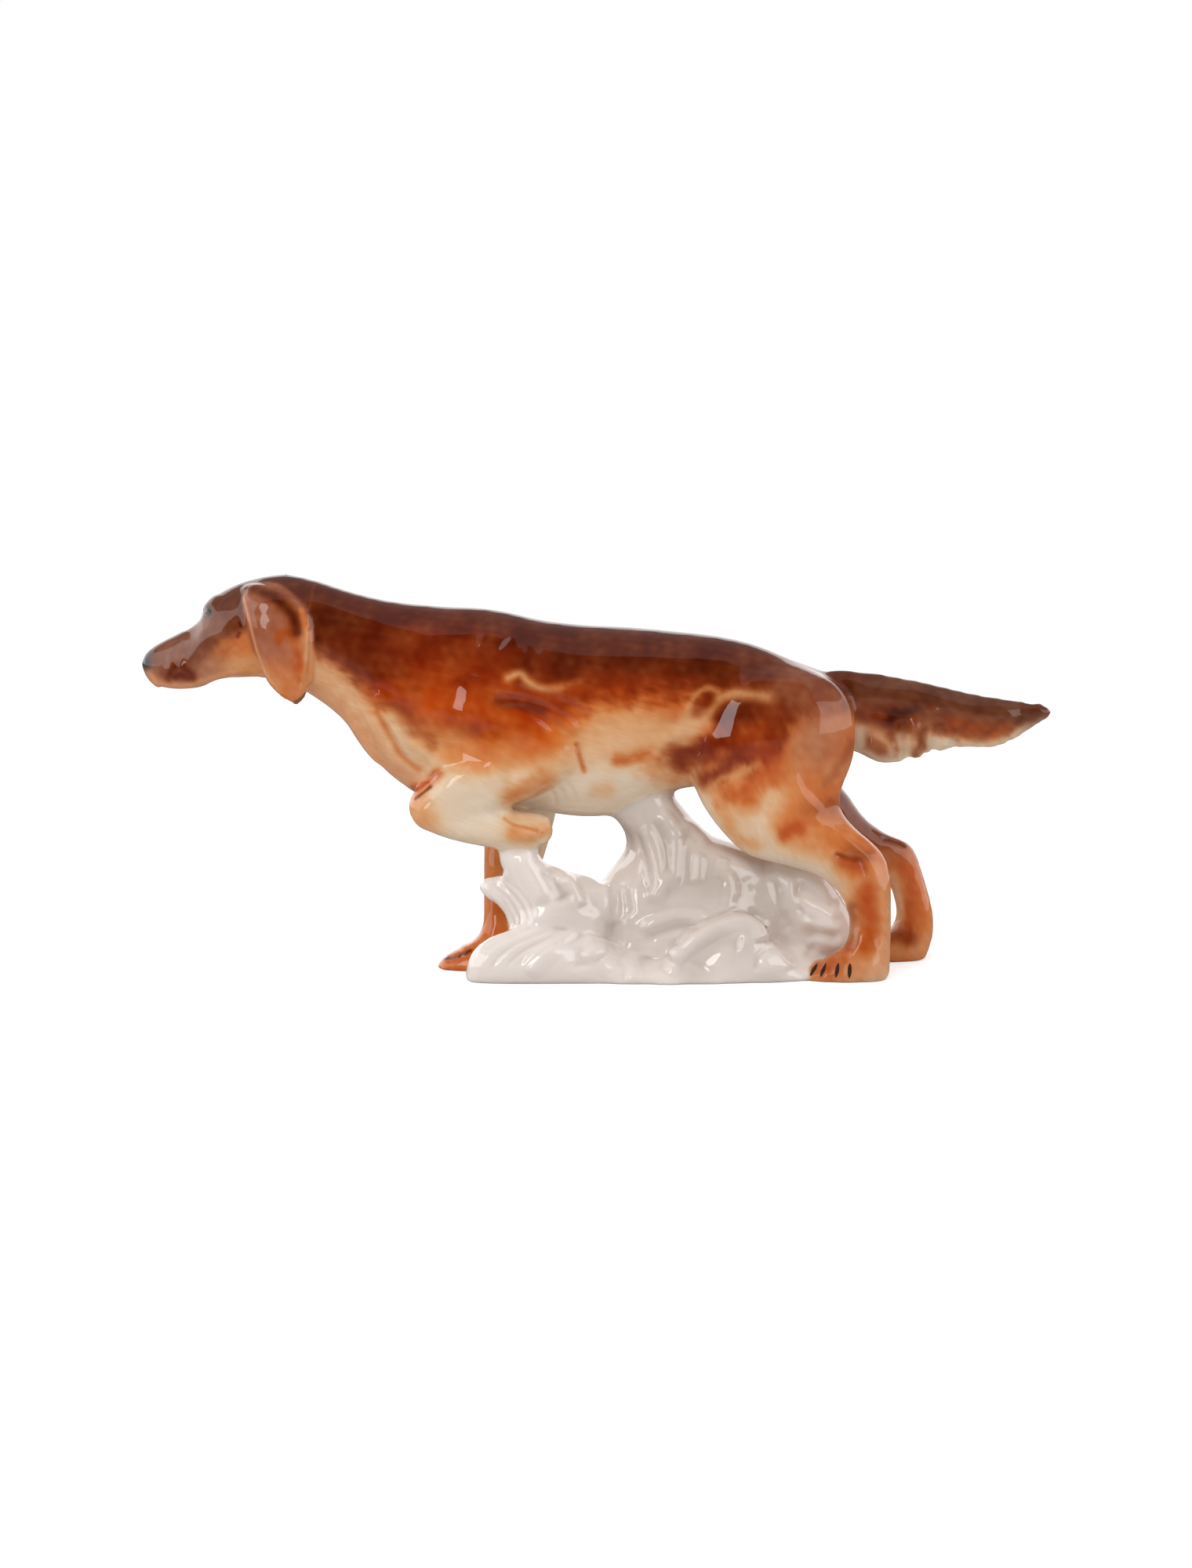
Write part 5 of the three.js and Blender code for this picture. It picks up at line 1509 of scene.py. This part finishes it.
def sight_line(pixel):
    """The camera's place, and the direction in which it sees a photograph pixel, in millimetres."""
    rise, run = math.sin(VIEW_ELEVATION), math.cos(VIEW_ELEVATION)
    eye = Vector((VIEW_SIDE, -VIEW_DISTANCE * run, VIEW_HEIGHT + VIEW_DISTANCE * rise))
    across, up = from_photo([pixel])[0]
    spot = Vector((VIEW_SIDE + across, up * rise, VIEW_HEIGHT + up * run))
    return eye, (spot - eye).normalized()


def on_casting(name, pixels):
    """Where photograph pixels fall on a finished casting: places and normals in metres."""
    mesh = bpy.data.objects[name + "_glazed"].data
    tree = BVHTree.FromPolygons([v.co for v in mesh.vertices], [p.vertices for p in mesh.polygons])
    found = []
    for pixel in pixels:
        eye, direction = sight_line(pixel)
        place, normal, _, _ = tree.ray_cast(eye * MM, direction)
        if place is None:
            raise RuntimeError("no " + name + " at photograph pixel " + str(pixel))
        found.append((place, normal))
    return found


def claw_tree(material):
    """Geometry Nodes: a flat bead of enamel at each point of a stroke, turned by the point's own frame."""
    enters = {"Geometry": "Geometry", "Length": "Float", "Width": "Float", "Height": "Float"}
    tree, given, leave = node_group("claw strokes", "GeometryNodeTree", enters, {"Geometry": "Geometry"})

    def attribute(name, kind):
        node = added(tree, "GeometryNodeInputNamedAttribute", {"Name": name}, data_type=kind)
        return node.outputs["Attribute"]

    bead = added(tree, "GeometryNodeMeshIcoSphere", {"Radius": 0.5, "Subdivisions": 3}).outputs["Mesh"]
    sides = {"X": given["Length"], "Y": given["Width"], "Z": given["Height"]}
    scale = added(tree, "ShaderNodeCombineXYZ", sides).outputs["Vector"]
    tapered = {"Vector": scale, "Scale": attribute("taper", "FLOAT")}
    size = added(tree, "ShaderNodeVectorMath", tapered, operation="SCALE").outputs["Vector"]
    turn = added(tree, "FunctionNodeAxesToRotation", {}, primary_axis="X", secondary_axis="Z")
    axes = {"Primary Axis": attribute("along", "FLOAT_VECTOR")}
    axes["Secondary Axis"] = attribute("outward", "FLOAT_VECTOR")
    rotation = wired(tree, turn, axes).outputs["Rotation"]
    beads = {"Points": given["Geometry"], "Instance": bead, "Rotation": rotation, "Scale": size}
    place = added(tree, "GeometryNodeInstanceOnPoints", beads).outputs["Instances"]
    real = added(tree, "GeometryNodeRealizeInstances", {"Geometry": place}).outputs["Geometry"]
    paint = added(tree, "GeometryNodeSetMaterial", {"Geometry": real, "Material": material})
    wired(tree, leave, {"Geometry": paint.outputs["Geometry"]})
    return tree


def enamel_strokes(name, strokes, sizes, material):
    """A closed chain of enamel beads on a casting for each stroke that is drawn on it."""
    middles, along, outward, taper = [], [], [], []
    shares = np.linspace(0, 1, CLAW_BEADS)
    for casting, top, bottom in strokes:
        pixels = np.array(top) + shares[:, None] * (np.array(bottom) - np.array(top))
        spots = on_casting(casting, pixels.tolist())
        for share, (place, normal) in zip(shares, spots):
            middles.append(place - normal * sizes.claw_height)
            along.append((spots[-1][0] - spots[0][0]).normalized())
            outward.append(normal)
            swell = math.sin(math.pi * (CLAW_SWELL[0] + CLAW_SWELL[1] * share))
            taper.append(CLAW_TIP + (1 - CLAW_TIP) * swell)
    mesh = bpy.data.meshes.new(name)
    mesh.from_pydata(middles, [], [])
    for label, rows in (("along", along), ("outward", outward)):
        layer = mesh.attributes.new(label, "FLOAT_VECTOR", "POINT")
        layer.data.foreach_set("vector", np.array(rows, np.float32).ravel())
    layer = mesh.attributes.new("taper", "FLOAT", "POINT")
    layer.data.foreach_set("value", np.array(taper, np.float32))
    block = placed(name + "_points", mesh)
    tree = claw_tree(material)
    modifier = block.modifiers.new("claws", "NODES")
    modifier.node_group = tree
    length, height = CLAW_LENGTH * sizes.claw_width, CLAW_DEPTH * sizes.claw_height
    values = {"Length": length, "Width": sizes.claw_width, "Height": height}
    for item in tree.interface.items_tree:
        if item.in_out == "INPUT" and item.name in values:
            modifier[item.identifier] = values[item.name]
    mesh = plain_mesh(block)
    mesh.shade_smooth()
    return placed(name, mesh)


def enamel(name, colour):
    """Glossy dark enamel with lighter, browner specks of wear."""
    material, tree, shader = shaded(name, {"Roughness": 0.5, "Specular IOR Level": 0.2})
    place = added(tree, "ShaderNodeTexCoord", {}).outputs["Object"]
    speckle = added(tree, "ShaderNodeTexNoise", {"Vector": place, "Scale": SPECKLES_PER_METRE})
    mix = added(tree, "ShaderNodeMix", {}, data_type="RGBA")
    factor, first, second = (socket for socket in mix.inputs if socket.enabled)
    first.default_value = (*colour, 1)
    second.default_value = (*(ENAMEL_WEAR * value for value in colour), 1)
    tree.links.new(speckle.outputs["Fac"], factor)
    result = next(socket for socket in mix.outputs if socket.enabled)
    wired(tree, shader, {"Base Color": result})
    return material


# Stage


def light_tent(scene, studio):
    """A world like a light tent: bright walls and roof, a dim open front and a tall window in it."""
    world = bpy.data.worlds.new("light tent")
    world.use_nodes = True
    tree = world.node_tree
    tree.nodes.clear()

    def sums(operation, *values):
        return calculated(tree, operation, *values)

    place = added(tree, "ShaderNodeTexCoord", {}).outputs["Generated"]
    axes = added(tree, "ShaderNodeSeparateXYZ", {"Vector": place}).outputs
    across, forward, up = axes["X"], axes["Y"], axes["Z"]
    sideways = sums("ABSOLUTE", sums("MULTIPLY_ADD", forward, OPENING_SHIFT, across))
    within_walls = sums("LESS_THAN", sums("MULTIPLY_ADD", forward, OPENING_WIDTH, sideways), 0)
    tilted = sums("MULTIPLY_ADD", across, OPENING_TILT, up)
    under_roof = sums("LESS_THAN", sums("MULTIPLY_ADD", forward, OPENING_HEIGHT, tilted), 0)
    opening = sums("MULTIPLY", within_walls, under_roof)
    azimuth = sums("ARCTAN2", across, sums("MULTIPLY", forward, -1))
    height = sums("ARCSINE", up)
    beside = sums("COMPARE", azimuth, math.radians(WINDOW_AZIMUTH), math.radians(WINDOW_WIDTH / 2))
    level = sums("COMPARE", height, math.radians(WINDOW_HEIGHT), math.radians(WINDOW_TALL / 2))
    window = sums("MULTIPLY", beside, level)
    overhead = sums("GREATER_THAN", up, ROOF_SLOPE)
    tented = sums("MULTIPLY_ADD", overhead, studio.roof - studio.walls, studio.walls)
    behind = sums("MULTIPLY", tented, sums("SUBTRACT", 1, opening))
    front = sums("MULTIPLY_ADD", opening, studio.opening, behind)
    glow = sums("MULTIPLY_ADD", window, studio.window, front)
    tent = added(tree, "ShaderNodeBackground", {"Strength": glow, "Color": WHITE}).outputs["Background"]
    white = added(tree, "ShaderNodeBackground", {"Color": WHITE}).outputs["Background"]
    eye = added(tree, "ShaderNodeLightPath", {}).outputs["Is Camera Ray"]
    choice = added(tree, "ShaderNodeMixShader", {"Fac": eye, 1: tent, 2: white}).outputs["Shader"]
    added(tree, "ShaderNodeOutputWorld", {"Surface": choice})
    scene.world = world


def soft_lamp(studio):
    """A broad lamp at the front left that models the forms and isn't mirrored in the glaze."""
    data = bpy.data.lights.new("soft_lamp", "AREA")
    data.shape = "DISK"
    data.size = LAMP_WIDTH
    data.energy = studio.lamp_power
    lamp = placed("soft_lamp", data)
    azimuth, height = math.radians(LAMP_AZIMUTH), math.radians(LAMP_HEIGHT)
    level = math.cos(height)
    toward = Vector((math.sin(azimuth) * level, -math.cos(azimuth) * level, math.sin(height)))
    lamp.location = Vector((0, 0, VIEW_HEIGHT * MM)) + toward * LAMP_DISTANCE
    lamp.rotation_euler = (-toward).to_track_quat("-Z", "Y").to_euler()
    lamp.visible_glossy = False
    lamp.visible_camera = False


def white_floor(studio):
    """A white table top that keeps the figure's soft shadow."""
    half = studio.floor_size / 2
    mesh = bpy.data.meshes.new("table_top")
    corners = [(-half, -half, 0), (half, -half, 0), (half, half, 0), (-half, half, 0)]
    mesh.from_pydata(corners, [], [(0, 1, 2, 3)])
    matt = {"Roughness": 0.9, "Specular IOR Level": 0.0, "Emission Color": WHITE}
    material, tree, shader = shaded("white_table", matt)
    ray = added(tree, "ShaderNodeLightPath", {}).outputs
    lift = calculated(tree, "MULTIPLY", ray["Is Camera Ray"], FLOOR_LIFT)
    grey = calculated(tree, "MULTIPLY_ADD", ray["Is Glossy Ray"], FLOOR_IN_GLAZE - FLOOR_GREY, FLOOR_GREY)
    wired(tree, shader, {"Emission Strength": lift, "Base Color": grey})
    mesh.materials.append(material)
    return placed("table_top", mesh)


def set_camera(scene):
    """A camera where the photograph's stood."""
    data = bpy.data.cameras.new("photograph")
    data.sensor_fit = "VERTICAL"
    data.sensor_height = SENSOR
    data.lens = SENSOR * VIEW_DISTANCE / (PHOTO_ROWS * PHOTO_PIXEL)
    camera = placed("photograph", data)
    eye, direction = sight_line(PHOTO_MIDDLE)
    camera.location = eye * MM
    camera.rotation_euler = direction.to_track_quat("-Z", "Y").to_euler()
    scene.camera = camera


class SETTER_PT_panel(bpy.types.Panel):
    """Lists the figure's settings and its steps in their order"""

    bl_idname = "SETTER_PT_panel"
    bl_label = "Porcelain Setter"
    bl_space_type = "VIEW_3D"
    bl_region_type = "UI"
    bl_category = "Setter"

    def draw(self, context):
        for group in SETTINGS:
            box = self.layout.box()
            for setting in SETTINGS[group].__annotations__:
                box.prop(getattr(context.scene, group), setting)
        for step in STEPS:
            self.layout.operator(step.bl_idname)


SETTINGS = {
    "setter_sizes": SetterSizes,
    "setter_colours": SetterColours,
    "setter_finish": SetterFinish,
    "setter_studio": SetterStudio,
}
CASTING_STEPS = (
    SETTER_OT_trunk,
    SETTER_OT_head,
    SETTER_OT_ears,
    SETTER_OT_tail,
    SETTER_OT_forelegs,
    SETTER_OT_hind_legs,
    SETTER_OT_rockwork,
)
STEPS = (SETTER_OT_lute, *CASTING_STEPS, SETTER_OT_claws, SETTER_OT_stage)
KINDS = (*SETTINGS.values(), *STEPS, SETTER_PT_panel)


def register():
    """Registers every class and hangs the settings on the scene."""
    for kind in KINDS:
        bpy.utils.register_class(kind)
    for label, kind in SETTINGS.items():
        setattr(bpy.types.Scene, label, PointerProperty(type=kind))


def unregister():
    """Takes the settings and the classes away again."""
    for label in SETTINGS:
        delattr(bpy.types.Scene, label)
    for kind in reversed(KINDS):
        bpy.utils.unregister_class(kind)


def main():
    """Makes the figure step by step."""
    register()
    bpy.ops.setter.lute()
    bpy.ops.setter.trunk()
    bpy.ops.setter.head()
    bpy.ops.setter.ears()
    bpy.ops.setter.tail()
    bpy.ops.setter.forelegs()
    bpy.ops.setter.hind_legs()
    bpy.ops.setter.rockwork()
    bpy.ops.setter.claws()
    bpy.ops.setter.stage()
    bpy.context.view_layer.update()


if __name__ == "__main__":
    main()
